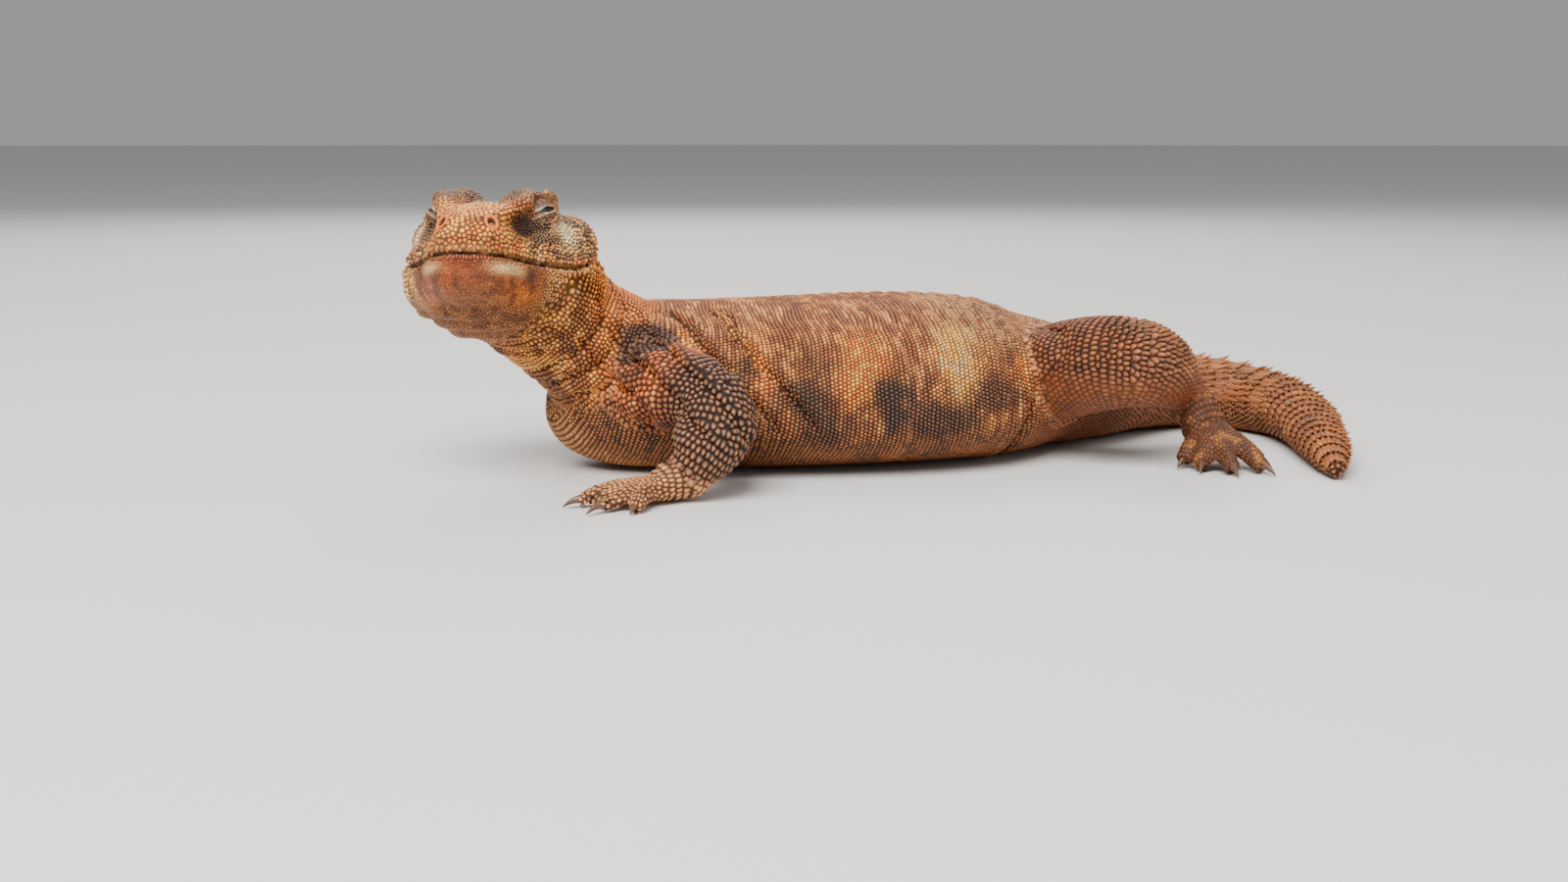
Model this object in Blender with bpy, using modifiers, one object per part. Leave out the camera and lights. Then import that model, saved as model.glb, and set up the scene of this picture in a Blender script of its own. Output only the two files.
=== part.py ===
"""A life-size uromastyx (spiny-tailed lizard) lying on its belly with the head raised and turned to its left.

Units are metres. +Z is up, the head points to -X, the animal's left side is -Y, and the soles and belly are at Z = 0.
"""
import math

import bpy
import bmesh
import numpy as np
from mathutils import Matrix, Vector
from mathutils.bvhtree import BVHTree

MM = 0.001
GAP = 0.3 * MM

# Driving sizes of the animal, in millimetres
SHOULDER_X = -54.0
HIP_X = 47.0
TRUNK_HALF_WIDTH = 38.0
BACK_HEIGHT = 39.5
HEAD_HALF_WIDTH = 22.0
EYE_RADIUS = 4.8
FLAT_DEPTH = 0.7

# Place and turn of the head
HEAD_CENTRE = (-87.0, -11.5, 49.6)
HEAD_YAW = math.radians(249.0)
HEAD_PITCH = math.radians(5.0)

# Places on the head: forward, left, up from the middle between the mouth's corners
EYE_PLACE = (2.8, 10.2, 9.3)
NOSTRIL_PLACE = (22.0, 5.0, 7.6)
EAR_PLACE = (-13.0, 19.0, 0.5)
MOUTH_LINE = ((-10, -3.0), (-6, -1.0), (-2, -0.2), (3, -1.3), (8, -1.1), (14, -0.2), (20, 0.9), (27, 1.6))

# Cuts that part the head, neck, torso and tail: a point on each and the way it faces
NECK_CUT, NECK_WAY = (-72.1, -3.6, 36.0), (-0.72, -0.26, 0.64)
CHEST_CUT, CHEST_WAY = (-62.0, 0.0, 30.0), (-0.9, 0.0, 0.43)
RUMP_CUT, RUMP_WAY = (66.0, 7.5, 12.9), (0.874, 0.473, -0.109)

# Limb paths: x, y, z, half width and the half thicknesses on either side
FORELEG_LEFT = [
    (-53, -12, 21, 10, 10, 11),
    (-52, -22, 22, 9.5, 10, 10),
    (-49, -32, 22.5, 8.8, 9, 8.6),
    (-44, -40.5, 20.5, 8, 8.6, 8),
    (-44.5, -44.5, 15.5, 7.6, 8.6, 8.4),
    (-47.5, -45.5, 10, 6.6, 7, 7.2),
    (-50.5, -45, 5.4, 4.4, 4.6, 4.6),
]
FORELEG_RIGHT = [
    (-53, 12, 21, 10, 10, 11),
    (-51, 22, 22, 9.5, 10, 10),
    (-46, 32, 21.5, 8.8, 9, 8.6),
    (-38, 40.5, 19, 8, 8.6, 8),
    (-36.5, 46, 13.5, 7.6, 8.6, 8.4),
    (-38.5, 49.5, 9, 6.4, 6.8, 6.8),
    (-41, 51.5, 5.4, 4.4, 4.6, 4.6),
]
HINDLEG_LEFT = [
    (42, -8, 18, 12, 11, 12),
    (46, -19, 22, 11.8, 11, 12.5),
    (51, -30, 25, 10.8, 10.6, 12.2),
    (57, -36.5, 25.5, 9.4, 9.8, 11),
    (64, -35, 23.5, 8.4, 8.8, 9.6),
    (70, -30, 20, 7, 7, 7.4),
    (75, -25.5, 16.5, 5.2, 5, 5.2),
]
HINDLEG_RIGHT = [
    (44, 8, 17, 12, 11, 12),
    (47, 20, 19, 12, 11.5, 12.5),
    (48, 33, 19, 10.8, 11, 11.8),
    (50, 44, 17, 9.2, 9.6, 9.8),
    (58, 46, 13.5, 8.2, 8.4, 8.6),
    (66, 46, 10, 6.8, 6.8, 7.0),
    (73, 47, 7, 5.0, 5.0, 5.2),
]

# Hands and feet: toe-root place, heading and fan of the digits in degrees, digit lengths, thickness, wrist radius
HAND_LEFT = ((-57.5, -45.5, 4.4), 182, 108, (9.5, 13.5, 15.5, 14.5, 11), 1.75, 3.9)
HAND_RIGHT = ((-46, 56, 4.2), 132, -108, (9.5, 13.5, 15.5, 14.5, 11), 1.75, 3.9)
FOOT_LEFT = ((78.5, -33.5, 9.6), -98, 100, (10, 12.5, 15.5, 16.5, 12), 2.1, 4.9)
FOOT_RIGHT = ((81, 53, 5.6), 30, -100, (11, 13.5, 16.5, 18, 13), 2.1, 4.9)

# Tail: path from the rump round to the tip, and its rings of spines
TAIL_PATH = [
    (66, 7.5, 12.9, 16.0, 12.0, 12.4),
    (78, 14, 11.4, 14.6, 10.4, 10.9),
    (94, 17.5, 10.2, 12.6, 9.4, 9.9),
    (108, 11.5, 9.2, 10.6, 8.4, 8.9),
    (115, -4, 8.0, 8.9, 7.3, 7.8),
    (112.5, -20, 6.9, 7.5, 6.2, 6.7),
    (106.5, -36, 5.8, 6.2, 5.1, 5.6),
    (100.5, -51, 4.4, 4.6, 3.8, 4.3),
    (96, -62, 2.6, 1.6, 1.5, 2.2),
]
WHORLS = 17
TAIL_NODES = (4, 8, 12, 17)

# Finish: base colour, roughness
SKIN = ((0.42, 0.20, 0.08, 1.0), 0.62)
HEAD_SKIN = ((0.50, 0.25, 0.09, 1.0), 0.58)
LIMB_SKIN = ((0.30, 0.13, 0.06, 1.0), 0.6)
TAIL_SKIN = ((0.36, 0.16, 0.09, 1.0), 0.6)
EYE = ((0.03, 0.02, 0.015, 1.0), 0.08)


def clear_scene():
    for obj in list(bpy.data.objects):
        bpy.data.objects.remove(obj, do_unlink=True)


def material(name, finish):
    mat = bpy.data.materials.new(name)
    mat.use_nodes = True
    shader = mat.node_tree.nodes["Principled BSDF"]
    shader.inputs["Base Color"].default_value = finish[0]
    shader.inputs["Roughness"].default_value = finish[1]
    shader.inputs["Metallic"].default_value = 0.0
    return mat


def smooth_rows(rows, count):
    """Rows of numbers, such as path points with their half sizes, read from a smooth curve at even lengths."""
    rows = np.asarray(rows, float)
    padded = np.vstack([2 * rows[0] - rows[1], rows, 2 * rows[-1] - rows[-2]])
    fine = []
    for a, b, c, d in zip(padded, padded[1:], padded[2:], padded[3:]):
        for t in np.linspace(0, 1, 16, endpoint=False):
            fine.append(0.5 * (2 * b + (c - a) * t + (2 * a - 5 * b + 4 * c - d) * t ** 2
                               + (3 * b - a - 3 * c + d) * t ** 3))
    fine = np.array(fine + [rows[-1]])
    run = np.concatenate([[0], np.cumsum(np.linalg.norm(np.diff(fine[:, :3], axis=0), axis=1))])
    even = np.linspace(0, run[-1], count)
    return np.stack([np.interp(even, run, column) for column in fine.T], axis=1)


def ring_frames(centres, up):
    """Tangent, side and upright vectors at each centre of a path."""
    tangents = np.gradient(centres, axis=0)
    tangents /= np.linalg.norm(tangents, axis=1, keepdims=True)
    sides = np.cross(tangents, np.asarray(up, float))
    sides /= np.linalg.norm(sides, axis=1, keepdims=True)
    return tangents, sides, np.cross(sides, tangents)


def loft_rings(rows, sides, up=(0, 0, 1), boxy=1.0):
    """Rings of points round a path. A row is x, y, z, half width, height above and depth below the path."""
    centres = rows[:, :3]
    _, across, upright = ring_frames(centres, up)
    angles = np.linspace(0, 2 * math.pi, sides, endpoint=False)
    cos = np.sign(np.cos(angles)) * np.abs(np.cos(angles)) ** boxy
    sin = np.sign(np.sin(angles)) * np.abs(np.sin(angles)) ** boxy
    rise = np.where(sin[None, :] >= 0, rows[:, 4:5], rows[:, 5:6]) * sin[None, :]
    return (centres[:, None, :] + across[:, None, :] * (rows[:, 3:4] * cos)[:, :, None]
            + upright[:, None, :] * rise[:, :, None])


def add_rings(bm, rings, matrix=None):
    """A closed skin over rings of points, with a vertex at each end's middle."""
    matrix = matrix or Matrix()
    made = [[bm.verts.new(matrix @ Vector(p * MM)) for p in ring] for ring in rings]
    count = len(made[0])
    for near, far in zip(made, made[1:]):
        for i in range(count):
            j = (i + 1) % count
            bm.faces.new((near[i], far[i], far[j], near[j]))
    for ring, turned in ((made[0], False), (made[-1], True)):
        middle = bm.verts.new(sum((v.co for v in ring), Vector()) / count)
        for i in range(count):
            corners = (ring[i], ring[(i + 1) % count], middle)
            bm.faces.new(corners[::-1] if turned else corners)


def add_loft(bm, stations, rings=40, sides=32, up=(0, 0, 1), boxy=1.0, matrix=None):
    add_rings(bm, loft_rings(smooth_rows(stations, rings), sides, up, boxy), matrix)


def add_ellipsoid(bm, centre, radii, matrix=None, turn=None):
    """An ellipsoid at a centre in millimetres. turn is a rotation matrix of its own axes."""
    place = Matrix.Translation(Vector(centre) * MM)
    shape = Matrix.Diagonal((*[r * MM for r in radii], 1.0))
    turn = turn.to_4x4() if turn else Matrix()
    bmesh.ops.create_icosphere(bm, subdivisions=4, radius=1.0, matrix=(matrix or Matrix()) @ place @ turn @ shape)


def head_matrix():
    """From head millimetres (forward, left, up from the mouth corners' middle) to the animal's frame, in metres."""
    forward = Vector((math.cos(HEAD_YAW) * math.cos(HEAD_PITCH), math.sin(HEAD_YAW) * math.cos(HEAD_PITCH),
                      math.sin(HEAD_PITCH)))
    left = Vector((-math.sin(HEAD_YAW), math.cos(HEAD_YAW), 0))
    up = forward.cross(left)
    turn = Matrix((forward, left, up)).transposed().to_4x4()
    return Matrix.Translation(Vector(HEAD_CENTRE) * MM) @ turn


def trunk_form(bm):
    w, top = TRUNK_HALF_WIDTH, BACK_HEIGHT
    add_loft(bm, [
        (-70, -1, 24, 10, 9, 14),
        (-64, 0, 22, 18, 15, 19),
        (SHOULDER_X, 0, 20, 24, top - 20, 20),
        (-38, 0, 17, 29.5, top - 17.3, 17.7),
        (-18, 0, 15, 0.93 * w, top - 15.2, 15.8),
        (4, 0, 14.5, w, top - 14.5, 15.2),
        (22, 0, 14.5, 0.94 * w, top - 15, 15.2),
        (36, 0, 15, 28.5, top - 17.5, 15.6),
        (HIP_X, 0.5, 16, 20.5, 16.5, 15.5),
        (57, 3, 14.5, 17.5, 14, 14),
        (66, 7.5, 12.9, 16, 12, 12.4),
        (74, 12, 11.8, 15, 10.8, 11.2),
    ], rings=64, sides=48, boxy=0.93)


def neck_form(bm):
    add_loft(bm, [
        (-50, 0, 22, 19, 15, 16),
        (-60, 0, 26.5, 20, 15.5, 15.5),
        (-68, -0.5, 32.5, 19.5, 14.5, 15),
        (-75, -2, 39.5, 19.5, 14, 15.5),
        (-82, -9, 46, 18.5, 12, 15.5),
    ], rings=28, sides=40, up=(0.15, 0, 1))


def head_forms(bm):
    m, w = head_matrix(), HEAD_HALF_WIDTH
    add_loft(bm, [  # cranium and muzzle, from the nape to the snout tip
        (-17, 0, 0, 15, 10, 12),
        (-9, 0, 0, 19.5, 13, 12),
        (0, 0, 0, w - 2, 13.4, 9),
        (7, 0, 0.5, 16.4, 12.6, 6),
        (13, 0, 1.2, 12, 11.4, 5),
        (19, 0, 2.2, 9.2, 9.2, 4.5),
        (23.6, 0, 3, 7.2, 6.6, 4),
        (26.2, 0, 3.3, 3.8, 3.6, 2.8),
    ], rings=40, sides=40, boxy=0.95, matrix=m)
    add_loft(bm, [  # lower jaw
        (-16, 0, -4, 15, 6, 12),
        (-8, 0, -4, w - 1.5, 7, 13),
        (0, 0, -4, w - 2.5, 6.5, 12.4),
        (7, 0, -3.5, 17.6, 5.5, 10.6),
        (14, 0, -2.8, 13.4, 5, 9),
        (20, 0, -1.8, 9.8, 4.5, 7),
        (23.6, 0, -1, 6.9, 3.5, 5),
        (25.4, 0, -0.8, 3.6, 2, 2.8),
    ], rings=40, sides=40, boxy=0.9, matrix=m)
    add_ellipsoid(bm, (2, 0, -8.5), (17, 15, 9.6), m)
    for side in (-1, 1):
        add_ellipsoid(bm, (-3, side * (w - 9.2), -4.5), (10.5, 9, 9.5), m)
        add_ellipsoid(bm, (-7, side * (w - 8.5), 3.4), (9.0, 7.6, 7.4), m)
        dome = Matrix.Rotation(side * math.radians(-10), 3, "Z") @ Matrix.Rotation(math.radians(8), 3, "Y")
        add_ellipsoid(bm, (1.0, side * 7.2, 9.4), (9.6, 6.4, 7.2), m, dome)
        add_loft(bm, [  # ridge over the eye, running on as the edge of the muzzle to the nostril
            (-5, side * 10.2, 11.2, 2.6, 2.2, 2.6),
            (0, side * 11.4, 13.2, 3.0, 2.6, 2.8),
            (5, side * 10.8, 13.4, 2.9, 2.5, 2.8),
            (10, side * 8.6, 11.8, 2.6, 2.2, 2.6),
            (15, side * 6.4, 10.0, 2.4, 2.0, 2.4),
            (20, side * 4.6, 8.4, 2.4, 1.9, 2.4),
            (23, side * 3.6, 6.8, 2.0, 1.6, 2.0),
        ], rings=24, sides=16, matrix=m)
        add_ellipsoid(bm, EYE_PLACE * np.array((1, side, 1)), (6.8, 5.9, 6.0), m)


def digit(bm, root, tip, arch, thick, claw):
    """One finger or toe: it leaves root, arches up and comes down to tip, then a curved claw tapers to a point."""
    root, tip = np.array(root, float), np.array(tip, float)
    run = tip - root
    rows = []
    for t in (0.0, 0.3, 0.6, 0.85, 1.0):
        point = root + run * t + np.array([0, 0, arch * math.sin(math.pi * min(1.0, t * 1.05))])
        half = thick * (1.0 - 0.22 * t)
        rows.append((*point, half, half, half))
    add_loft(bm, rows, rings=14, sides=14, up=(0, 0, 1))
    level = run * (1, 1, 0) / np.linalg.norm(run * (1, 1, 0))
    base = np.array(rows[-1][:3]) - level * 1.2 + np.array([0, 0, 0.35 * thick])
    nail = []
    for t in (0.0, 0.4, 0.75, 1.0):
        point = base + level * claw * t + np.array([0, 0, 0.9 * math.sin(math.pi * t * 0.9) - (base[2] - 0.45) * t])
        half = 0.72 * thick * (1.0 - t) + 0.3 * t
        nail.append((*point, 0.75 * half, half, half))
    add_loft(bm, nail, rings=10, sides=12, up=(0, 0, 1))


def fan(centre, spread, count):
    """Headings in radians of the digits of a foot, fanned about its own heading."""
    return [centre + spread * (i / (count - 1) - 0.5) for i in range(count)]


def foot_forms(bm, wrist, palm, heading, spread, reach, thick, root_radius):
    """Palm or sole with its five digits. reach is the length of each digit, from the first, inner one, outwards."""
    wrist, palm = np.array(wrist, float), np.array(palm, float)
    middle = 0.5 * (wrist + palm)
    rows = [(*wrist, root_radius, root_radius, root_radius),
            (*middle, 1.15 * root_radius, 0.85 * root_radius, 0.85 * root_radius),
            (*palm, 1.35 * root_radius, 0.7 * root_radius, 0.7 * root_radius)]
    add_loft(bm, rows, rings=14, sides=24, up=(0, 0, 1))
    for angle, length in zip(fan(heading, spread, 5), reach):
        way = np.array([math.cos(angle), math.sin(angle), 0])
        start = palm + way * 0.45 * root_radius
        start[2] = 0.62 * palm[2]
        tip = palm + way * length
        tip[2] = thick * 0.78
        digit(bm, start, tip, 0.9, thick, 0.38 * length)


def limb_form(bm, rows, up):
    add_loft(bm, rows, rings=48, sides=28, up=up)


def fused(bm, name, voxel, smoothing):
    """The forms fused to one closed skin by a voxel remesh and smoothed."""
    obj = new_object(name, bm)
    remesh = obj.modifiers.new("fuse", "REMESH")
    remesh.mode = "VOXEL"
    remesh.voxel_size = voxel * MM
    smooth = obj.modifiers.new("smooth", "SMOOTH")
    smooth.factor = 0.5
    smooth.iterations = smoothing
    return baked(obj)


def new_object(name, bm):
    mesh = bpy.data.meshes.new(name)
    bm.to_mesh(mesh)
    bm.free()
    obj = bpy.data.objects.new(name, mesh)
    bpy.context.scene.collection.objects.link(obj)
    return obj


def baked(obj):
    """The object with its modifiers turned into plain mesh."""
    graph = bpy.context.evaluated_depsgraph_get()
    graph.update()
    mesh = bpy.data.meshes.new_from_object(obj.evaluated_get(graph))
    obj.modifiers.clear()
    obj.data = mesh
    return obj


def thinned(obj, name, triangles):
    """A copy of the object with about this many triangles, flat where it rests."""
    copy = bpy.data.objects.new(name, obj.data.copy())
    bpy.context.scene.collection.objects.link(copy)
    copy.data.calc_loop_triangles()
    thin = copy.modifiers.new("thin", "DECIMATE")
    thin.ratio = min(1.0, triangles / len(copy.data.loop_triangles))
    baked(copy)
    rest_on_floor(copy.data)
    return copy


def points_of(mesh, field="vertices"):
    values = np.empty(len(mesh.vertices) * 3, np.float32)
    if field == "normals":
        mesh.vertex_normals.foreach_get("vector", values)
    else:
        mesh.vertices.foreach_get("co", values)
    return values.reshape(-1, 3).astype(float)


def set_points(mesh, points):
    mesh.vertices.foreach_set("co", points.astype(np.float32).ravel())
    mesh.update()


def rest_on_floor(mesh):
    """Every point lower than the flat's depth moves onto the floor, so that the underside is flat where it rests."""
    points = points_of(mesh)
    points[points[:, 2] < FLAT_DEPTH * MM, 2] = 0.0
    set_points(mesh, points)


def bump(distance, width):
    return np.exp(-(distance / width) ** 2)


def sculpt_head(obj):
    """Mouth line with its lips, nostrils, ear cups, lid folds and throat folds, pressed into the skin."""
    world = points_of(obj.data)
    normals = points_of(obj.data, "normals")
    frame = np.array(head_matrix().inverted())
    q = (world @ frame[:3, :3].T + frame[:3, 3]) / MM
    forward, left, up = q.T
    side = np.abs(left)
    line = np.array(MOUTH_LINE)
    above = up - np.interp(forward, line[:, 0], line[:, 1])
    near = np.clip((forward + 10.5) / 2.0, 0, 1) * (side + 0.6 * np.clip(forward, 0, 30) > 11)
    push = near * (-1.0 * bump(above, 0.75) + 0.45 * bump(above - 1.7, 0.9) + 0.35 * bump(above + 1.6, 0.9))
    nostril = np.sqrt((forward - NOSTRIL_PLACE[0]) ** 2 + (side - NOSTRIL_PLACE[1]) ** 2
                      + (up - NOSTRIL_PLACE[2]) ** 2)
    push += -1.3 * bump(nostril, 1.0) + 0.3 * bump(nostril - 2.0, 0.5)
    ear = (side > 13) * bump(forward - EAR_PLACE[0], 1.3) * bump(up - EAR_PLACE[2], 4.2)
    push += -2.2 * ear
    fore, rise = forward - EYE_PLACE[0], up - EYE_PLACE[2]
    around = np.sqrt(fore ** 2 + (1.25 * rise) ** 2)
    push += (side > 9) * (0.35 * bump(around - 4.2, 0.7) - 0.35 * bump(around - 5.6, 0.7))
    set_points(obj.data, world + normals * (push * MM)[:, None])


def cut_end(obj, point, direction):
    """Keeps the part of the object that lies behind the plane and closes the cut with a flat face."""
    bm = bmesh.new()
    bm.from_mesh(obj.data)
    cut = bmesh.ops.bisect_plane(bm, geom=bm.verts[:] + bm.edges[:] + bm.faces[:], plane_co=Vector(point) * MM,
                                 plane_no=Vector(direction), clear_outer=True)
    edges = [e for e in cut["geom_cut"] if isinstance(e, bmesh.types.BMEdge) and e.is_boundary]
    bmesh.ops.triangle_fill(bm, edges=edges, use_beauty=True)
    bmesh.ops.recalc_face_normals(bm, faces=bm.faces[:])
    bm.to_mesh(obj.data)
    bm.free()
    keep_largest(obj)


def keep_largest(obj):
    """Removes all but the largest closed surface of the mesh, counting faces as joined where they share an edge."""
    bm = bmesh.new()
    bm.from_mesh(obj.data)
    left, groups = set(bm.faces), []
    while left:
        stack = [left.pop()]
        group = [stack[0]]
        while stack:
            for edge in stack.pop().edges:
                for face in edge.link_faces:
                    if face in left:
                        left.remove(face)
                        stack.append(face)
                        group.append(face)
        groups.append(group)
    groups.sort(key=len)
    bmesh.ops.delete(bm, geom=[face for group in groups[:-1] for face in group], context="FACES")
    bm.to_mesh(obj.data)
    bm.free()


def piece(source, name, *planes):
    """A copy of the source between planes. A plane is its point, its direction and the side that is kept."""
    copy = bpy.data.objects.new(name, source.data.copy())
    bpy.context.scene.collection.objects.link(copy)
    for point, direction, keep in planes:
        way = Vector(direction).normalized() * keep
        cut_end(copy, Vector(point) - way * (0.5 * GAP / MM), way)
    return copy


def swollen(obj, by, name):
    """A copy of the object grown outwards by a length in metres, used as a cutter."""
    copy = bpy.data.objects.new(name, obj.data.copy())
    bpy.context.scene.collection.objects.link(copy)
    set_points(copy.data, points_of(copy.data) + points_of(copy.data, "normals") * by)
    return copy


def boolean(obj, other, operation, solver="EXACT"):
    """Joins or cuts the object with another, or with a list of others, and removes the others."""
    others = other if isinstance(other, list) else [other]
    group = bpy.data.collections.new("cutters")
    for each in others:
        group.objects.link(each)
    change = obj.modifiers.new("cut", "BOOLEAN")
    change.operation = operation
    change.solver = solver
    change.operand_type = "COLLECTION"
    change.collection = group
    baked(obj)
    for each in others:
        bpy.data.objects.remove(each, do_unlink=True)
    bpy.data.collections.remove(group)
    keep_largest(obj)


def spine_object(name, root, tip, width, thick, across):
    """A four-sided spine that leaves its root, narrows and bends to a point. Its root sits below the surface."""
    root, tip, across = Vector(root), Vector(tip), Vector(across).normalized()
    way = (tip - root).normalized()
    lift = way.cross(across).normalized()
    bm = bmesh.new()
    rings = []
    for t, size in ((0.0, 1.0), (0.55, 0.72)):
        centre = root.lerp(tip, t) - lift * (0.10 * (tip - root).length * math.sin(math.pi * t))
        corners = (across * width, lift * thick, -across * width, -lift * thick)
        rings.append([bm.verts.new((centre + corner * size) * MM) for corner in corners])
    point = bm.verts.new(tip * MM)
    bm.faces.new(rings[0][::-1])
    for i in range(4):
        j = (i + 1) % 4
        bm.faces.new((rings[0][i], rings[0][j], rings[1][j], rings[1][i]))
        bm.faces.new((rings[1][i], rings[1][j], point))
    bmesh.ops.triangulate(bm, faces=bm.faces[:])
    bmesh.ops.recalc_face_normals(bm, faces=bm.faces[:])
    return new_object(name, bm)


def surface_spines(obj, places, length, width, sink=0.9, draw=None):
    """Spines on an object's skin. A place is a point near the surface and the way the spine leans, in millimetres."""
    bm = bmesh.new()
    bm.from_mesh(obj.data)
    tree = BVHTree.FromBMesh(bm)
    bm.free()
    made = []
    for point, lean, size in places:
        spot, normal, _, _ = tree.find_nearest(Vector(point) * MM)
        if spot is None:
            continue
        lean = Vector(lean)
        lean = (lean - normal * lean.dot(normal)).normalized()
        long = length * size * draw.uniform(0.85, 1.15)
        rise = 0.72
        way = (lean + normal * rise).normalized()
        root = spot / MM - normal * sink - lean * 0.3
        made.append(spine_object("spine", root, root + way * (long + sink), width * size,
                                 0.62 * width * size, normal.cross(lean)))
    return made


def frames_on(rows):
    return rows[:, :3], *ring_frames(rows[:, :3], (0, 0, 1))


def tail_nodes(draw):
    """The tail in lengths. Each ring of scales rises to a rear edge that carries spines over the top and sides."""
    steps = 200
    rows = smooth_rows(TAIL_PATH, steps + 1)
    spacing = np.linspace(1.25, 0.75, WHORLS)
    ends = np.concatenate([[0.0], np.cumsum(spacing)])
    ends = ends / ends[-1] * 0.985
    read = lambda t: np.array([np.interp(t * steps, np.arange(steps + 1), column) for column in rows.T])
    across_all = ring_frames(rows[:, :3], (0, 0, 1))
    made, first = [], 0
    for node, last in enumerate(TAIL_NODES):
        lengths, sizes = [], []
        for ring in range(first, last):
            start, end = ends[ring], ends[ring + 1]
            lead = start + (0.14 * (end - start) if ring > first else 0.0)
            lengths += [lead, end - (0.0 if ring < last - 1 else 0.0)]
            sizes += [0.93, 1.05]
        run = total_length(rows)
        lengths[0] += 0.5 * 0.3 / run
        if last < WHORLS:
            lengths[-1] -= 0.5 * 0.3 / run
        else:
            lengths.append(1.0)
            sizes.append(0.75)
        table = np.array([read(t) for t in lengths])
        table[:, 3:] *= np.array(sizes)[:, None]
        centres = table[:, :3]
        tangents = np.array([read_vector(across_all[0], t) for t in lengths])
        sides = np.array([read_vector(across_all[1], t) for t in lengths])
        uprights = np.cross(sides, tangents)
        bm = bmesh.new()
        add_rings(bm, ring_points(table, centres, sides, uprights, 14, 0.92))
        obj = new_object(f"tail_{node + 1}", bm)
        rest_on_floor(obj.data)
        bm = bmesh.new()
        bm.from_mesh(obj.data)
        bmesh.ops.triangulate(bm, faces=bm.faces[:])
        bm.to_mesh(obj.data)
        bm.free()
        spines = []
        for ring in range(first, last):
            late = ring == last - 1
            t = ends[ring + 1] - (0.42 if late else 0.16) * (ends[ring + 1] - ends[ring])
            row = read(t)
            tangent, side = read_vector(across_all[0], t), read_vector(across_all[1], t)
            upright = np.cross(side, tangent)
            count = 8 if ring < 8 else 7 if ring < 13 else 6
            if ring == WHORLS - 1:
                count = 4
            for i in range(count):
                angle = math.radians(-14 + 208 * (i + 0.5 * (ring % 2) * 0.8) / (count - 1 + 0.4))
                out = side * math.cos(angle) * row[3] + upright * math.sin(angle) * row[4 if angle > 0 else 5]
                normal = out / np.linalg.norm(out)
                size = row[3] / 14.0
                long = (1.9 + 2.6 * size) * draw.uniform(0.85, 1.15)
                lean = tangent * (0.35 if late else 0.85)
                if last == WHORLS and late:
                    lean = tangent * 0.8
                root = row[:3] + out - normal * (1.1 * max(size, 0.5)) - tangent * 0.2
                way = (normal * 0.75 + lean)
                way /= np.linalg.norm(way)
                tip = root + way * (long + 1.1 * max(size, 0.5))
                tip[2] = max(tip[2], 0.9)
                wide = (0.75 + 0.95 * size)
                spines.append(spine_object("spine", root, tip, wide, 0.7 * wide, np.cross(way, normal)))
        boolean(obj, spines, "UNION")
        made.append(obj)
        first = last
    return made


def total_length(rows):
    return float(np.linalg.norm(np.diff(rows[:, :3], axis=0), axis=1).sum())


def read_vector(vectors, t):
    at = np.array([np.interp(t * (len(vectors) - 1), np.arange(len(vectors)), column) for column in vectors.T])
    return at / np.linalg.norm(at)


def ring_points(table, centres, sides, uprights, count, boxy):
    angles = np.linspace(0, 2 * math.pi, count, endpoint=False)
    cos = np.sign(np.cos(angles)) * np.abs(np.cos(angles)) ** boxy
    sin = np.sign(np.sin(angles)) * np.abs(np.sin(angles)) ** boxy
    rise = np.where(sin[None, :] >= 0, table[:, 4:5], table[:, 5:6]) * sin[None, :]
    return (centres[:, None, :] + sides[:, None, :] * (table[:, 3:4] * cos)[:, :, None]
            + uprights[:, None, :] * rise[:, :, None])


def eye_nodes(head):
    """Eyeballs in their sockets, each seen through the slit between its lids."""
    m = head_matrix()
    made = []
    for name, side in (("eye_left", 1), ("eye_right", -1)):
        centre = Vector(EYE_PLACE) * MM
        centre.y *= side
        place = m @ Matrix.Translation(centre)
        bm = bmesh.new()
        bmesh.ops.create_icosphere(bm, subdivisions=3, radius=EYE_RADIUS * MM, matrix=place)
        made.append(new_object(name, bm))
        bm = bmesh.new()
        bmesh.ops.create_icosphere(bm, subdivisions=2, radius=EYE_RADIUS * MM + 1.2 * GAP, matrix=place)
        socket = new_object("socket", bm)
        bm = bmesh.new()
        tilt = Matrix.Rotation(math.radians(-8), 4, "Y")
        slit = place @ Matrix.Translation(Vector((0.2, side * 3.2, 0.5)) * MM) @ tilt
        shape = Matrix.Diagonal((3.5 * MM, 5.5 * MM, 1.0 * MM, 1.0))
        bmesh.ops.create_icosphere(bm, subdivisions=2, radius=1.0, matrix=slit @ shape)
        opening = new_object("slit", bm)
        boolean(socket, opening, "UNION")
        boolean(head, socket, "DIFFERENCE")
    return made


LIMBS = (
    ("foreleg_left", FORELEG_LEFT, (1, 0, 0.15), HAND_LEFT, ("upper", "lower", "hand")),
    ("foreleg_right", FORELEG_RIGHT, (1, 0, 0.15), HAND_RIGHT, ("upper", "lower", "hand")),
    ("hindleg_left", HINDLEG_LEFT, (-0.2, 0.2, 1), FOOT_LEFT, ("thigh", "shin", "foot")),
    ("hindleg_right", HINDLEG_RIGHT, (-0.2, -0.2, 1), FOOT_RIGHT, ("thigh", "shin", "foot")),
)


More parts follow.
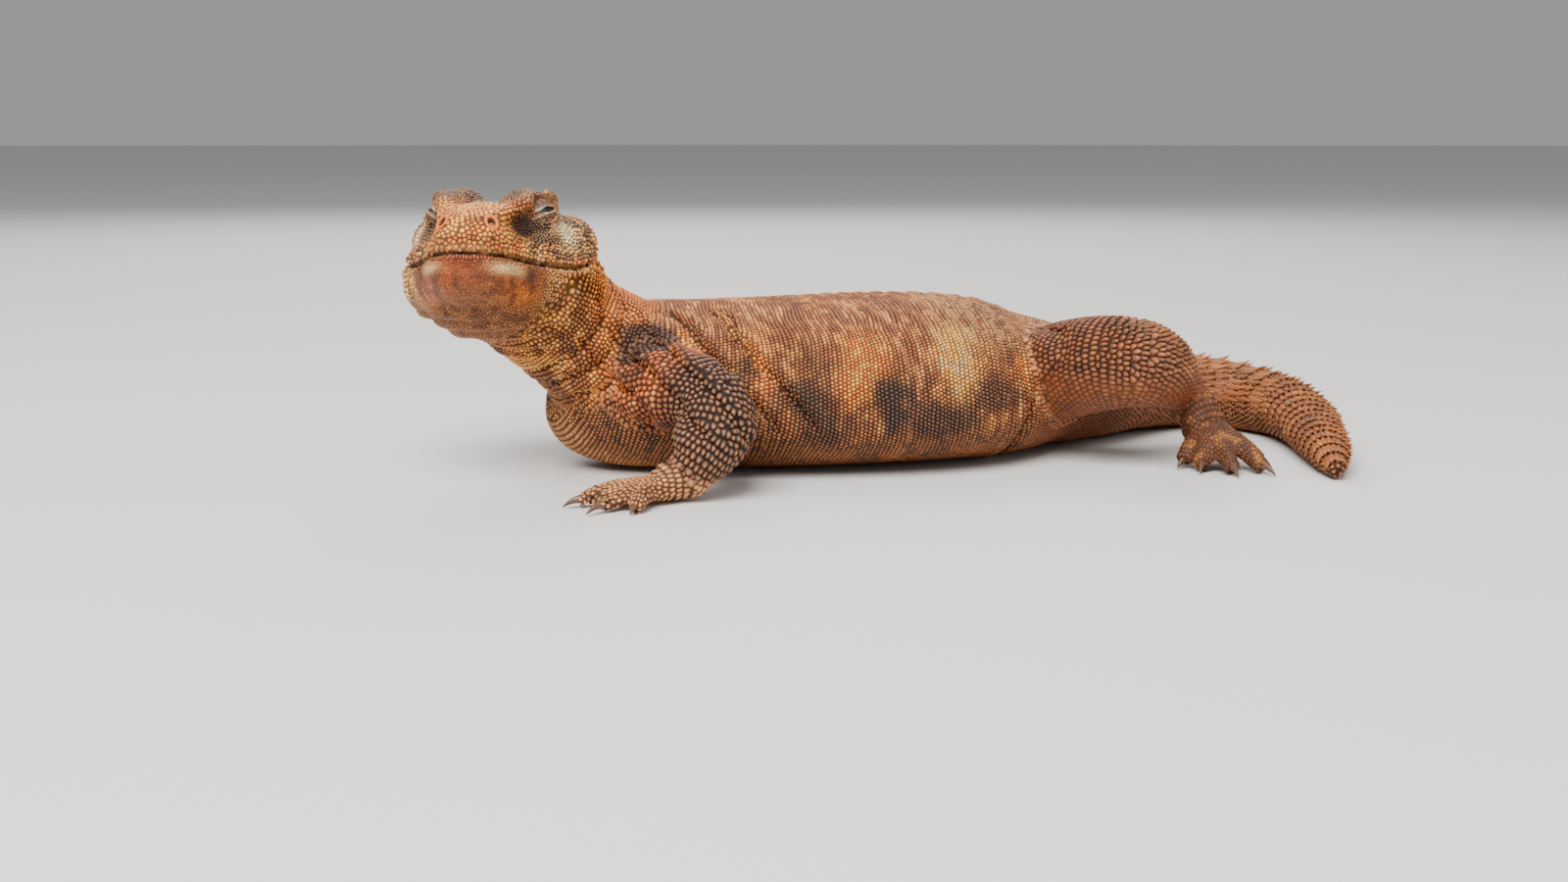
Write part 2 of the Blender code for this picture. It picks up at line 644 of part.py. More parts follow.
def limb_spines(obj, rows, draw, hind):
    """Pointed scales in rows along the outer and upper side of a limb, leaning towards the foot."""
    fine = smooth_rows(rows, 60)
    centres, tangents, sides, uprights = frames_on(fine)
    places = []
    spans = (26, 55, 5.6, 4) if hind else (22, 46, 5.6, 3)
    run = total_length(fine) / 59
    step = max(1, int(round(spans[2] / run)))
    for k, at in enumerate(range(spans[0], spans[1], step)):
        radius = fine[at, 3]
        for j in range(spans[3]):
            angle = math.radians(22 + 46 * (j + 0.5 * (k % 2)))
            outwards = np.array([0, math.copysign(1.0, rows[3][1]), 0])
            flat = outwards - tangents[at] * outwards.dot(tangents[at])
            flat /= np.linalg.norm(flat)
            rising = np.cross(tangents[at], flat)
            rising *= math.copysign(1.0, rising[2])
            spot = centres[at] + radius * (flat * math.cos(angle) + rising * math.sin(angle))
            places.append((spot, tangents[at], 1.0 + 0.35 * (at / 60 if hind else 0)))
    return surface_spines(obj, places, 3.0 if hind else 2.0, 1.35 if hind else 1.25, draw=draw)


def neck_spines(head, draw):
    """Pointed scales behind each ear and on the side of the neck fold."""
    m = head_matrix()
    places = []
    for side in (-1, 1):
        for k in range(7):
            up = 9.0 - 3.2 * k
            spot = m @ (Vector((-15.5 + 0.12 * abs(up), side * 19.0, up)) * MM) / MM
            if (spot - Vector(NECK_CUT)).dot(Vector(NECK_WAY)) > 4.0:
                places.append((spot, m.to_3x3() @ Vector((-1.0, side * 0.2, 0.1)), 1.0))
    return surface_spines(head, places, 2.0, 0.95, draw=draw)


def main():
    clear_scene()
    draw = np.random.default_rng(11)
    bm = bmesh.new()
    trunk_form(bm)
    neck_form(bm)
    head_forms(bm)
    core = fused(bm, "core", 0.8, 5)
    sculpt_head(core)
    fine = thinned(core, "fine", 5000)
    plain = thinned(core, "plain", 2600)
    head = piece(fine, "head", (NECK_CUT, NECK_WAY, -1))
    neck = piece(plain, "neck", (NECK_CUT, NECK_WAY, 1), (CHEST_CUT, CHEST_WAY, -1))
    torso = piece(plain, "torso", (CHEST_CUT, CHEST_WAY, 1), (RUMP_CUT, RUMP_WAY, 1))
    nodes = [head, neck, torso]
    nodes += eye_nodes(head)
    boolean(head, neck_spines(head, draw), "UNION")
    for name, rows, up, foot, words in LIMBS:
        bm = bmesh.new()
        add_loft(bm, rows, rings=48, sides=28, up=up)
        add_ellipsoid(bm, rows[-1][:3], (5.3, 5.3, 4.9) if "fore" in name else (6.1, 6.1, 5.7))
        foot_forms(bm, rows[-1][:3], foot[0], math.radians(foot[1]), math.radians(foot[2]), *foot[3:])
        whole = fused(bm, name, 0.6, 4)
        limb = thinned(whole, name + "_limb", 660)
        bpy.data.objects.remove(whole, do_unlink=True)
        boolean(limb, limb_spines(limb, rows, draw, "hind" in name), "UNION")
        boolean(limb, swollen(plain, GAP, "swollen"), "DIFFERENCE")
        joint, joint_way = limb_plane(rows, 3.15)
        joint_way = joint_way.normalized() + limb_plane(rows, 2.5)[1].normalized()
        onwards = Vector(foot[0]) - Vector(rows[-1][:3])
        wrist = Vector(rows[-1][:3]) + 0.2 * onwards
        wrist_way = onwards.normalized() + limb_plane(rows, len(rows) - 2)[1].normalized()
        pieces = [piece(limb, f"{name}_{words[0]}", (joint, joint_way, 1)),
                  piece(limb, f"{name}_{words[1]}", (joint, joint_way, -1), (wrist, wrist_way, 1)),
                  piece(limb, f"{name}_{words[2]}", (wrist, wrist_way, -1), (joint, joint_way, -1))]
        bpy.data.objects.remove(limb, do_unlink=True)
        nodes += pieces
    tail = tail_nodes(draw)
    nodes += tail
    for extra in (core, fine, plain):
        bpy.data.objects.remove(extra, do_unlink=True)
    finish_nodes(nodes)


def limb_plane(rows, at):
    """Point and direction of a limb's path at a row number with a fraction."""
    rows = np.array(rows, float)
    low = int(at)
    point = rows[low, :3] + (rows[low + 1, :3] - rows[low, :3]) * (at - low)
    return Vector(point), Vector(rows[low + 1, :3] - rows[low, :3])


def finish_nodes(nodes):
    """Centres the model over its origin, gives each node its skin and its place under one empty."""
    group = bpy.data.collections.new("uromastyx")
    bpy.context.scene.collection.children.link(group)
    low = np.min([points_of(obj.data).min(axis=0) for obj in nodes], axis=0)
    high = np.max([points_of(obj.data).max(axis=0) for obj in nodes], axis=0)
    shift = np.array([0.5 * (low[0] + high[0]), 0.5 * (low[1] + high[1]), 0.0])
    base = bpy.data.objects.new("base", None)
    group.objects.link(base)
    for obj in nodes:
        points = points_of(obj.data) - shift
        centre = 0.5 * (points.min(axis=0) + points.max(axis=0))
        set_points(obj.data, points - centre)
        obj.location = centre
        obj.parent = base
        bpy.context.scene.collection.objects.unlink(obj)
        group.objects.link(obj)
        finish = (EYE if obj.name.startswith("eye") else TAIL_SKIN if obj.name.startswith("tail")
                  else HEAD_SKIN if obj.name in ("head", "neck") else LIMB_SKIN if "leg" in obj.name else SKIN)
        obj.data.materials.clear()
        obj.data.materials.append(material(obj.name + "_skin", finish))
        obj.data.shade_smooth()
        obj.data.set_sharp_from_angle(angle=math.radians(50))


main()
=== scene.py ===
"""A uromastyx lying on its belly with the head raised: one skin, its scales, spines, claws, eyes and lids."""
import math

import bpy
import numpy as np
from bpy.props import FloatProperty, FloatVectorProperty, IntProperty, PointerProperty
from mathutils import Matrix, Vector
from mathutils.bvhtree import BVHTree
from mathutils.kdtree import KDTree


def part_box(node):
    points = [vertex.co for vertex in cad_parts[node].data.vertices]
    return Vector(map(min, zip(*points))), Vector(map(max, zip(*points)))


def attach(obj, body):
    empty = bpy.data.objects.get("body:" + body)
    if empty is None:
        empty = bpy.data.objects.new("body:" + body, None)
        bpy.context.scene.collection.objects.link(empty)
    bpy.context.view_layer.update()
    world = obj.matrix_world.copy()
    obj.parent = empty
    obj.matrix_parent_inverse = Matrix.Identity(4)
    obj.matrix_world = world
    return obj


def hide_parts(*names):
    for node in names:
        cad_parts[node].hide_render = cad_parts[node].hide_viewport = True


bl_info = {
    "name": "Uromastyx",
    "version": (1, 0, 0),
    "blender": (4, 5, 0),
    "location": "3D View > Sidebar > Uromastyx",
    "description": "Builds the skin, scales, spines, claws and eyes of a resting uromastyx over its solids",
    "category": "Object",
}

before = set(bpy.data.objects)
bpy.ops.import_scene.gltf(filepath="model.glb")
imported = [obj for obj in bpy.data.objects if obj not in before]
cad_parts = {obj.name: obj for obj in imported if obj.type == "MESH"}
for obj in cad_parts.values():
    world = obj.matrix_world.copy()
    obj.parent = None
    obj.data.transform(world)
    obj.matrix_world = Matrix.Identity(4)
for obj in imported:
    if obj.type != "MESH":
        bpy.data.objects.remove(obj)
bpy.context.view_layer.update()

MM = 0.001

# Driving sizes of the animal, in millimetres
SHOULDER_X = -54.0
HIP_X = 47.0
TRUNK_HALF_WIDTH = 38.0
BACK_HEIGHT = 39.5
HEAD_HALF_WIDTH = 22.0
EYE_RADIUS = 4.8
SKIN_DEPTH = 0.32
SKIN_LOWEST = 0.06
VOXEL_SIZE = 0.84

# Up directions of the body's paths
UP = (0, 0, 1)
NECK_UP = (0.15, 0, 1)

# Scales, in millimetres: spacing along a path, spacing round it, and size; then the size under which those of
# the head count as fine, the cuts between the pieces of the trunk, and how many candidates are scattered
SPACING = {"trunk": (0.98, 0.92, 0.95), "neck": (1.10, 1.05, 1.08), "tail": (1.35, 1.3, 1.32),
           "palm": (1.25, 1.2, 1.2), "digit": (1.1, 1.0, 1.05)}
LEG_PITCH = {"foreleg": 1.42, "hindleg": 1.34}
FINE_SIZE = 0.80
TRUNK_CUTS = (-30, 2, 28)
HEAD_CANDIDATES = 60000
GAP_CANDIDATES = 70000

# Rings of a scale from its edge up: share of its cell's reach, share of its height and share of its colour,
# which paints shade dark at the edge and a highlight towards the top
BEAD = ((1.0, -0.25, 0.06), (0.84, 0.50, 0.44), (0.50, 0.92, 1.05))
DOME = ((1.0, -0.22, 0.08), (0.86, 0.42, 0.36), (0.52, 0.90, 1.02))
LOW = ((0.98, -0.25, 0.10), (0.68, 0.78, 0.84))
LID_DOME = ((1.0, -0.3, 0.5), (0.6, 0.85, 1.0))

# Steps along a region's path, the number that stands for out of reach, and a scale's size in the unrolled
# skin
PLACE_STEPS = 60
FAR = 9.0
PATCH = 0.0015

# The lowest point of a scale and of a spine over the floor, and the painted highlight on a scale's tip as a
# share of its colour
SCALE_LOWEST = 0.02
SPINE_LOWEST = 0.03
TIP_HIGHLIGHT = 1.38

# Place and turn of the head
HEAD_CENTRE = np.array((-87.0, -11.5, 49.6))
HEAD_YAW = math.radians(249.0)
HEAD_PITCH = math.radians(5.0)

# Places on the head: forward, left, up from the middle between the mouth's corners
EYE_PLACE = np.array((2.8, 10.2, 9.3))
EYE_SET = EYE_PLACE - np.array((0, 0.9, 0))
NOSTRIL_PLACE = (22.0, 5.0, 7.6)
EAR_PLACE = (-13.0, 19.0, 0.5)
MOUTH_LINE = ((-10, -3.0), (-6, -1.0), (-2, -0.2), (3, -1.3), (8, -1.1), (14, -0.2), (20, 0.9), (27, 1.6))

# Body paths: x, y, z, half width, height above and depth below the path
TRUNK = (
    (-70, -1, 24, 10, 9, 14), (-64, 0, 22, 18, 15, 19), (SHOULDER_X, 0, 20, 24, BACK_HEIGHT - 20, 20),
    (-38, 0, 17, 29.5, BACK_HEIGHT - 17.3, 17.7),
    (-18, 0, 15, 0.93 * TRUNK_HALF_WIDTH, BACK_HEIGHT - 15.2, 15.8),
    (4, 0, 14.5, TRUNK_HALF_WIDTH, BACK_HEIGHT - 14.5, 15.2),
    (22, 0, 14.5, 0.94 * TRUNK_HALF_WIDTH, BACK_HEIGHT - 15, 15.2),
    (36, 0, 15, 28.5, BACK_HEIGHT - 17.5, 15.6), (HIP_X, 0.5, 16, 20.5, 16.5, 15.5),
    (57, 3, 14.5, 17.5, 14, 14), (66, 7.5, 12.9, 16, 12, 12.4), (74, 12, 11.8, 15, 10.8, 11.2),
)
NECK = (
    (-50, 0, 22, 19, 15, 16), (-60, 0, 26.5, 20, 15.5, 15.5), (-68, -0.5, 32.5, 19.5, 14.5, 15),
    (-75, -2, 39.5, 19.5, 14, 15.5), (-82, -9, 46, 18.5, 12, 15.5),
)
CRANIUM = (
    (-17, 0, 0, 15, 10, 12), (-9, 0, 0, 19.5, 13, 12), (0, 0, 0, HEAD_HALF_WIDTH - 2, 13.4, 9),
    (7, 0, 0.5, 16.4, 12.6, 6), (13, 0, 1.2, 12, 11.4, 5), (19, 0, 2.2, 9.2, 9.2, 4.5),
    (23.6, 0, 3, 7.2, 6.6, 4), (26.2, 0, 3.3, 3.8, 3.6, 2.8),
)
LOWER_JAW = (
    (-16, 0, -4, 15, 6, 12), (-8, 0, -4, HEAD_HALF_WIDTH - 1.5, 7, 13),
    (0, 0, -4, HEAD_HALF_WIDTH - 2.5, 6.5, 12.4), (7, 0, -3.5, 17.6, 5.5, 10.6),
    (14, 0, -2.8, 13.4, 5, 9), (20, 0, -1.8, 9.8, 4.5, 7),
    (23.6, 0, -1, 6.9, 3.5, 5), (25.4, 0, -0.8, 3.6, 2, 2.8),
)
BROW = (
    (-5, 10.2, 11.2, 2.6, 2.2, 2.6), (0, 11.4, 13.2, 3.0, 2.6, 2.8), (5, 10.8, 13.4, 2.9, 2.5, 2.8),
    (10, 8.6, 11.8, 2.6, 2.2, 2.6), (15, 6.4, 10.0, 2.4, 2.0, 2.4), (20, 4.6, 8.4, 2.4, 1.9, 2.4),
    (23, 3.6, 6.8, 2.0, 1.6, 2.0),
)
TAIL = (
    (66, 7.5, 12.9, 16.0, 12.0, 12.4), (78, 14, 11.4, 14.6, 10.4, 10.9), (94, 17.5, 10.2, 12.6, 9.4, 9.9),
    (108, 11.5, 9.2, 10.6, 8.4, 8.9), (115, -4, 8.0, 8.9, 7.3, 7.8), (112.5, -20, 6.9, 7.5, 6.2, 6.7),
    (106.5, -36, 5.8, 6.2, 5.1, 5.6), (100.5, -51, 4.4, 4.6, 3.8, 4.3), (96, -62, 2.6, 1.6, 1.5, 2.2),
)

# Limbs: path rows, the way of the second thickness, then toe-root place, heading, fan, digit lengths,
# digit thickness and wrist radius
LIMBS = {
    "foreleg_left": (((-53, -12, 21, 10, 10, 11), (-52, -22, 22, 9.5, 10, 10), (-49, -32, 22.5, 8.8, 9, 8.6),
                      (-44, -40.5, 20.5, 8, 8.6, 8), (-44.5, -44.5, 15.5, 7.6, 8.6, 8.4),
                      (-47.5, -45.5, 10, 6.6, 7, 7.2), (-50.5, -45, 5.4, 4.4, 4.6, 4.6)), (1, 0, 0.15),
                     (-57.5, -45.5, 4.4), 182, 108, (9.5, 13.5, 15.5, 14.5, 11), 1.75, 3.9),
    "foreleg_right": (((-53, 12, 21, 10, 10, 11), (-51, 22, 22, 9.5, 10, 10), (-46, 32, 21.5, 8.8, 9, 8.6),
                       (-38, 40.5, 19, 8, 8.6, 8), (-36.5, 46, 13.5, 7.6, 8.6, 8.4),
                       (-38.5, 49.5, 9, 6.4, 6.8, 6.8), (-41, 51.5, 5.4, 4.4, 4.6, 4.6)), (1, 0, 0.15),
                      (-46, 56, 4.2), 132, -108, (9.5, 13.5, 15.5, 14.5, 11), 1.75, 3.9),
    "hindleg_left": (((42, -8, 18, 12, 11, 12), (46, -19, 22, 11.8, 11, 12.5),
                      (51, -30, 25, 10.8, 10.6, 12.2), (57, -36.5, 25.5, 9.4, 9.8, 11),
                      (64, -35, 23.5, 8.4, 8.8, 9.6), (70, -30, 20, 7, 7, 7.4),
                      (75, -25.5, 16.5, 5.2, 5, 5.2)), (-0.2, 0.2, 1),
                     (78.5, -33.5, 9.6), -98, 100, (10, 12.5, 15.5, 16.5, 12), 2.1, 4.9),
    "hindleg_right": (((44, 8, 17, 12, 11, 12), (47, 20, 19, 12, 11.5, 12.5), (48, 33, 19, 10.8, 11, 11.8),
                       (50, 44, 17, 9.2, 9.6, 9.8), (58, 46, 13.5, 8.2, 8.4, 8.6),
                       (66, 46, 10, 6.8, 6.8, 7.0), (73, 47, 7, 5.0, 5.0, 5.2)), (-0.2, -0.2, 1),
                      (81, 53, 5.6), 30, -100, (11, 13.5, 16.5, 18, 13), 2.1, 4.9),
}

# The photograph's view: degrees, metres and millimetres of lens
CAMERA_AZIMUTH = -15.0
CAMERA_ELEVATION = 10.0
CAMERA_DISTANCE = 0.43
CAMERA_LENS = 40.0
CAMERA_SENSOR = 36.0
CAMERA_MIDDLE = (-16.0, 5.0, 3.0)

# The stage: radii of the floor's rings in millimetres and points round each, each light's name, place, size
# and share of the main light's power, and the colour and strength of the sky
FLOOR_RINGS = (60.0, 300.0, 1200.0, 4000.0, 12000.0)
FLOOR_SIDES = 96
LIGHTS = (("key", (-0.42, -0.62, 0.85), 0.7, 1.0), ("fill", (0.9, -0.5, 0.55), 1.1, 0.22),
          ("back", (0.1, 0.9, 0.8), 0.9, 0.42))
SKY = ((0.86, 0.88, 0.92, 1), 0.38)

FLESH_NODES = [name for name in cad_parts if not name.startswith("eye")]


# Frames and paths

def head_frame():
    """Columns forward, left and up of the head: forward is turned by the yaw in the level plane and raised
    by the pitch, left is level and square to it, and up is their cross product."""
    forward = np.array((math.cos(HEAD_YAW) * math.cos(HEAD_PITCH), math.sin(HEAD_YAW) * math.cos(HEAD_PITCH),
                        math.sin(HEAD_PITCH)))
    left = np.array((-math.sin(HEAD_YAW), math.cos(HEAD_YAW), 0.0))
    return np.stack([forward, left, np.cross(forward, left)], axis=1)


HEAD_FRAME = head_frame()


def from_head(points):
    """The animal's place of a place on the head."""
    return np.asarray(points, float) @ HEAD_FRAME.T + HEAD_CENTRE


def to_head(points):
    """Forward, left and up on the head of a place on the animal."""
    return (points - HEAD_CENTRE) @ HEAD_FRAME


def head_places(points):
    """Forward, out to either side, and up on the head, for each point."""
    f, l, u = to_head(points).T
    return f, np.abs(l), u


def frame_shift():
    """From the animal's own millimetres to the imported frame: the left eye's place there less its place
    here."""
    low, high = (np.array(corner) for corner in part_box("eye_left"))
    return 0.5 * (low + high) / MM - from_head(EYE_PLACE)


SHIFT = frame_shift()


def smooth_rows(rows, count):
    """Rows of numbers read from a Catmull-Rom curve through them at even lengths of its first three
    columns."""
    rows = np.asarray(rows, float)
    padded = np.vstack([2 * rows[0] - rows[1], rows, 2 * rows[-1] - rows[-2]])
    t = np.linspace(0, 1, 24, endpoint=False)[None, :, None]
    a, b, c, d = (padded[i:len(padded) - 3 + i, None, :] for i in range(4))
    fine = 0.5 * (2 * b + (c - a) * t + (2 * a - 5 * b + 4 * c - d) * t ** 2
                  + (3 * b - a - 3 * c + d) * t ** 3)
    fine = np.vstack([fine.reshape(-1, rows.shape[1]), rows[-1:]])
    run = np.concatenate([[0], np.cumsum(np.linalg.norm(np.diff(fine[:, :3], axis=0), axis=1))])
    even = np.linspace(0, run[-1], count)
    return np.stack([np.interp(even, run, column) for column in fine.T], axis=1)


def path_length(rows):
    """Length of the curve through the rows' places."""
    return float(np.linalg.norm(np.diff(smooth_rows(rows, 200)[:, :3], axis=0), axis=1).sum())


def unit(vectors):
    """The vectors over their lengths."""
    return vectors / np.maximum(np.linalg.norm(vectors, axis=-1, keepdims=True), 1e-9)


def path_frames(centres, up):
    """Tangent along the path, side square to it and to up, and upright square to both."""
    tangents = unit(np.gradient(centres, axis=0))
    sides = unit(np.cross(tangents, np.asarray(up, float)))
    return tangents, sides, np.cross(sides, tangents)


def ring_points(rows, angles, up, boxy):
    """Point on a ring: centre + side * half width * cos + upright * height * sin, where cos and sin are
    raised to the power boxy with their signs kept, and the height is the upper or the lower one. angles has
    a row a ring."""
    _, sides, uprights = path_frames(rows[:, :3], up)
    cos = np.sign(np.cos(angles)) * np.abs(np.cos(angles)) ** boxy
    sin = np.sign(np.sin(angles)) * np.abs(np.sin(angles)) ** boxy
    rise = np.where(sin >= 0, rows[:, 4:5], rows[:, 5:6]) * sin
    return (rows[:, None, :3] + sides[:, None, :] * (rows[:, 3:4] * cos)[:, :, None]
            + uprights[:, None, :] * rise[:, :, None])


def ring_quads(rings, around):
    """Corners of the quads between neighbouring closed rings of points."""
    i, j = np.meshgrid(np.arange(rings - 1), np.arange(around), indexing="ij")
    k = (j + 1) % around
    corners = [i * around + j, (i + 1) * around + j, (i + 1) * around + k, i * around + k]
    return np.stack(corners, axis=-1).reshape(-1, 4)


def grid_shape(grid):
    """Vertices and faces of a closed skin over a grid of rings: quads between rings and a fan at each end."""
    rings, around = grid.shape[:2]
    points = np.vstack([grid.reshape(-1, 3), grid[0].mean(axis=0), grid[-1].mean(axis=0)])
    a, first, last = np.arange(around), rings * around, rings * around + 1
    b = (a + 1) % around
    start = (rings - 1) * around
    front = np.stack([a, b, np.full(around, first)], axis=1)
    back = np.stack([b + start, a + start, np.full(around, last)], axis=1)
    return points, ring_quads(rings, around), np.vstack([front, back])


def loft(rows, rings, around, up=UP, boxy=1.0, place=None):
    """A closed skin over rings along the rows' smooth path, moved by place if it is given."""
    angles = np.tile(np.linspace(0, 2 * math.pi, around, endpoint=False), (rings, 1))
    grid = ring_points(smooth_rows(rows, rings), angles, up, boxy)
    return grid_shape(place(grid) if place else grid)


def ellipsoid(centre, radii, place=None, turn=None):
    """Centre + turned (radius x * sin t cos a, radius y * sin t sin a, radius z * cos t) over t and a."""
    t = np.linspace(0.06, math.pi - 0.06, 24)[:, None]
    a = np.linspace(0, 2 * math.pi, 32, endpoint=False)[None, :]
    ball = np.stack([np.sin(t) * np.cos(a), np.sin(t) * np.sin(a), np.cos(t) + 0 * a],
                    axis=-1) * np.array(radii)
    if turn is not None:
        ball = ball @ turn.T
    grid = ball + np.array(centre)
    return grid_shape(place(grid) if place else grid)


def turned(yaw, pitch):
    """Rotation by a yaw about the up axis after a pitch about the left axis, in degrees."""
    c, s = math.cos(math.radians(yaw)), math.sin(math.radians(yaw))
    d, e = math.cos(math.radians(pitch)), math.sin(math.radians(pitch))
    return np.array(((c, -s, 0), (s, c, 0), (0, 0, 1))) @ np.array(((d, 0, e), (0, 1, 0), (-e, 0, d)))


# Meshes

def new_mesh(name, points, faces, uv=None):
    """A mesh object from points in the animal's millimetres and a list of face arrays of three or four
    corners."""
    mesh = bpy.data.meshes.new(name)
    points = (points + SHIFT) * MM
    faces = [f for f in faces if len(f)]
    corners = np.concatenate([f.ravel() for f in faces]).astype(np.int32)
    sizes = np.concatenate([np.full(len(f), f.shape[1]) for f in faces]).astype(np.int32)
    mesh.vertices.add(len(points))
    mesh.vertices.foreach_set("co", points.astype(np.float32).ravel())
    mesh.loops.add(len(corners))
    mesh.loops.foreach_set("vertex_index", corners)
    mesh.polygons.add(len(sizes))
    mesh.polygons.foreach_set("loop_start", np.concatenate([[0], np.cumsum(sizes)[:-1]]).astype(np.int32))
    mesh.polygons.foreach_set("loop_total", sizes)
    mesh.update(calc_edges=True)
    mesh.validate()
    if uv is not None:
        layer = mesh.uv_layers.new(name="OFBake")
        layer.data.foreach_set("uv", uv[corners].astype(np.float32).ravel())
    mesh.shade_smooth()
    obj = bpy.data.objects.new(name, mesh)
    bpy.context.scene.collection.objects.link(obj)
    return obj


def joined(shapes):
    """Several (points, quads, triangles) shapes as one list of points and faces."""
    points, quads, triangles, start = [], [], [], 0
    for p, q, t in shapes:
        points.append(p)
        quads.append(q + start)
        triangles.append(t + start)
        start += len(p)
    return np.vstack(points), np.vstack(quads), np.vstack(triangles)


def set_colour(mesh, name, colours):
    """A colour for each vertex, in linear light, as an attribute of the mesh."""
    attribute = mesh.color_attributes.new(name, "FLOAT_COLOR", "POINT")
    filled = np.ones((len(mesh.vertices), 4), np.float32)
    filled[:, :3] = np.clip(colours, 0.0, 1.0)
    attribute.data.foreach_set("color", filled.ravel())


def read_points(mesh):
    """The vertices in the animal's millimetres."""
    points = np.empty(len(mesh.vertices) * 3, np.float32)
    mesh.vertices.foreach_get("co", points)
    return points.reshape(-1, 3).astype(float) / MM - SHIFT


def read_normals(mesh):
    """The normal at each vertex."""
    normals = np.empty(len(mesh.vertices) * 3, np.float32)
    mesh.vertex_normals.foreach_get("vector", normals)
    return normals.reshape(-1, 3).astype(float)


def write_points(mesh, points):
    """Moves the vertices to points in the animal's millimetres."""
    mesh.vertices.foreach_set("co", ((points + SHIFT) * MM).astype(np.float32).ravel())
    mesh.update()


# Noise

def noise(points, size, seed=0):
    """Value noise from 0 to 1: random numbers hashed on the corners of cells this size, blended by 3t^2 -
    2t^3."""
    p = np.asarray(points, float) / size + 137.3 * (seed + 1)
    base = np.floor(p).astype(np.int64)
    f = p - base
    f = f * f * (3 - 2 * f)
    total = np.zeros(len(p))
    for corner in range(8):
        step = np.array((corner & 1, corner >> 1 & 1, corner >> 2 & 1))
        cell = base + step
        mixed = (cell[:, 0] * 374761393 + cell[:, 1] * 668265263 + cell[:, 2] * 2147483647 + seed * 974711)
        mixed = (mixed ^ (mixed >> 13)) * 1274126177 & 0xFFFFFFFF
        value = ((mixed ^ (mixed >> 16)) & 0xFFFF) / 65535.0
        weight = np.prod(np.where(step, f, 1 - f), axis=1)
        total += weight * value
    return total


def layered(points, size, seed=0):
    """Noise of this size with a half of noise 2.1 times finer and a quarter of noise 4.3 times finer."""
    return (noise(points, size, seed) + 0.5 * noise(points, size / 2.1, seed + 5)
            + 0.25 * noise(points, size / 4.3, seed + 9)) / 1.75


def smooth_step(value, low, high):
    """0 up to low, 1 from high on and 3t^2 - 2t^3 between them, where t is the share of the way."""
    t = np.clip((value - low) / (high - low), 0, 1)
    return t * t * (3 - 2 * t)


def bump(distance, width):
    """The bell exp(-(distance / width)^2)."""
    return np.exp(-(distance / width) ** 2)


def blend(base, colour, amount):
    """Colour base moved towards another by an amount from 0 to 1 at each point."""
    return base + (np.asarray(colour, float) - base) * np.clip(amount, 0, 1)[:, None]


def painted(colour, *layers):
    """A colour with layers of (colour, amount at each point) blended over it, one after the other."""
    for hue, amount in layers:
        colour = blend(colour, hue, amount)
    return colour


# The forms of the animal

def digit_rows(root, tip, thick):
    """Rows of one finger or toe: a straight run raised by 0.9 mm * sin, thinning by a fifth to its tip."""
    t = np.array((0.0, 0.3, 0.6, 0.85, 1.0))[:, None]
    points = root + (tip - root) * t + np.array((0, 0, 0.9)) * np.sin(math.pi * np.minimum(1, 1.05 * t))
    half = np.repeat(thick * (1 - 0.22 * t), 3, axis=1)
    return np.hstack([points, half])


def digits(limb):
    """Root, tip, thickness and claw length of each of a limb's five digits, fanned about the foot's
    heading."""
    palm, heading, spread, reach, thick, wrist = LIMBS[limb][2:]
    palm = np.array(palm, float)
    found = []
    for number, length in enumerate(reach):
        angle = math.radians(heading + spread * (number / 4 - 0.5))
        way = np.array((math.cos(angle), math.sin(angle), 0))
        root, tip = palm + way * 0.6 * wrist, palm + way * 1.1 * length
        root[2], tip[2] = 0.80 * palm[2] - 0.4, 0.78 * thick
        found.append((root, tip, 1.36 * thick, 0.22 * length))
    return found


def palm_rows(limb):
    """Rows of the palm or sole, from the wrist, widening and flattening to the roots of the digits."""
    start, palm, wrist = np.array(LIMBS[limb][0][-1][:3]), np.array(LIMBS[limb][2], float), LIMBS[limb][7]
    return np.array([(*start, wrist, wrist, wrist),
                     (*(0.5 * (start + palm)), 1.15 * wrist, 0.85 * wrist, 0.85 * wrist),
                     (*palm, 1.35 * wrist, 0.7 * wrist, 0.7 * wrist)])


def head_shapes():
    """Cranium, lower jaw, throat and, on each side, jowl, temple, eye bulge, brow dome and brow ridge."""
    shapes = [loft(CRANIUM, 40, 48, boxy=0.95, place=from_head),
              loft(LOWER_JAW, 40, 48, boxy=0.9, place=from_head),
              ellipsoid((2, 0, -8.5), (17, 15, 9.6), from_head)]
    for side in (-1, 1):
        shapes += [ellipsoid((-3, side * (HEAD_HALF_WIDTH - 9.2), -4.5), (10.5, 9.0, 9.5), from_head),
                   ellipsoid((-7, side * (HEAD_HALF_WIDTH - 8.5), 3.4), (9.0, 7.6, 7.4), from_head),
                   ellipsoid((1, side * 7.2, 9.4), (9.6, 6.4, 7.2), from_head, turned(-10 * side, 8)),
                   ellipsoid(EYE_SET * (1, side, 1), (6.8, 5.9, 6.0), from_head),
                   loft([(f, side * l, *rest) for f, l, *rest in BROW], 40, 20, place=from_head)]
    return shapes


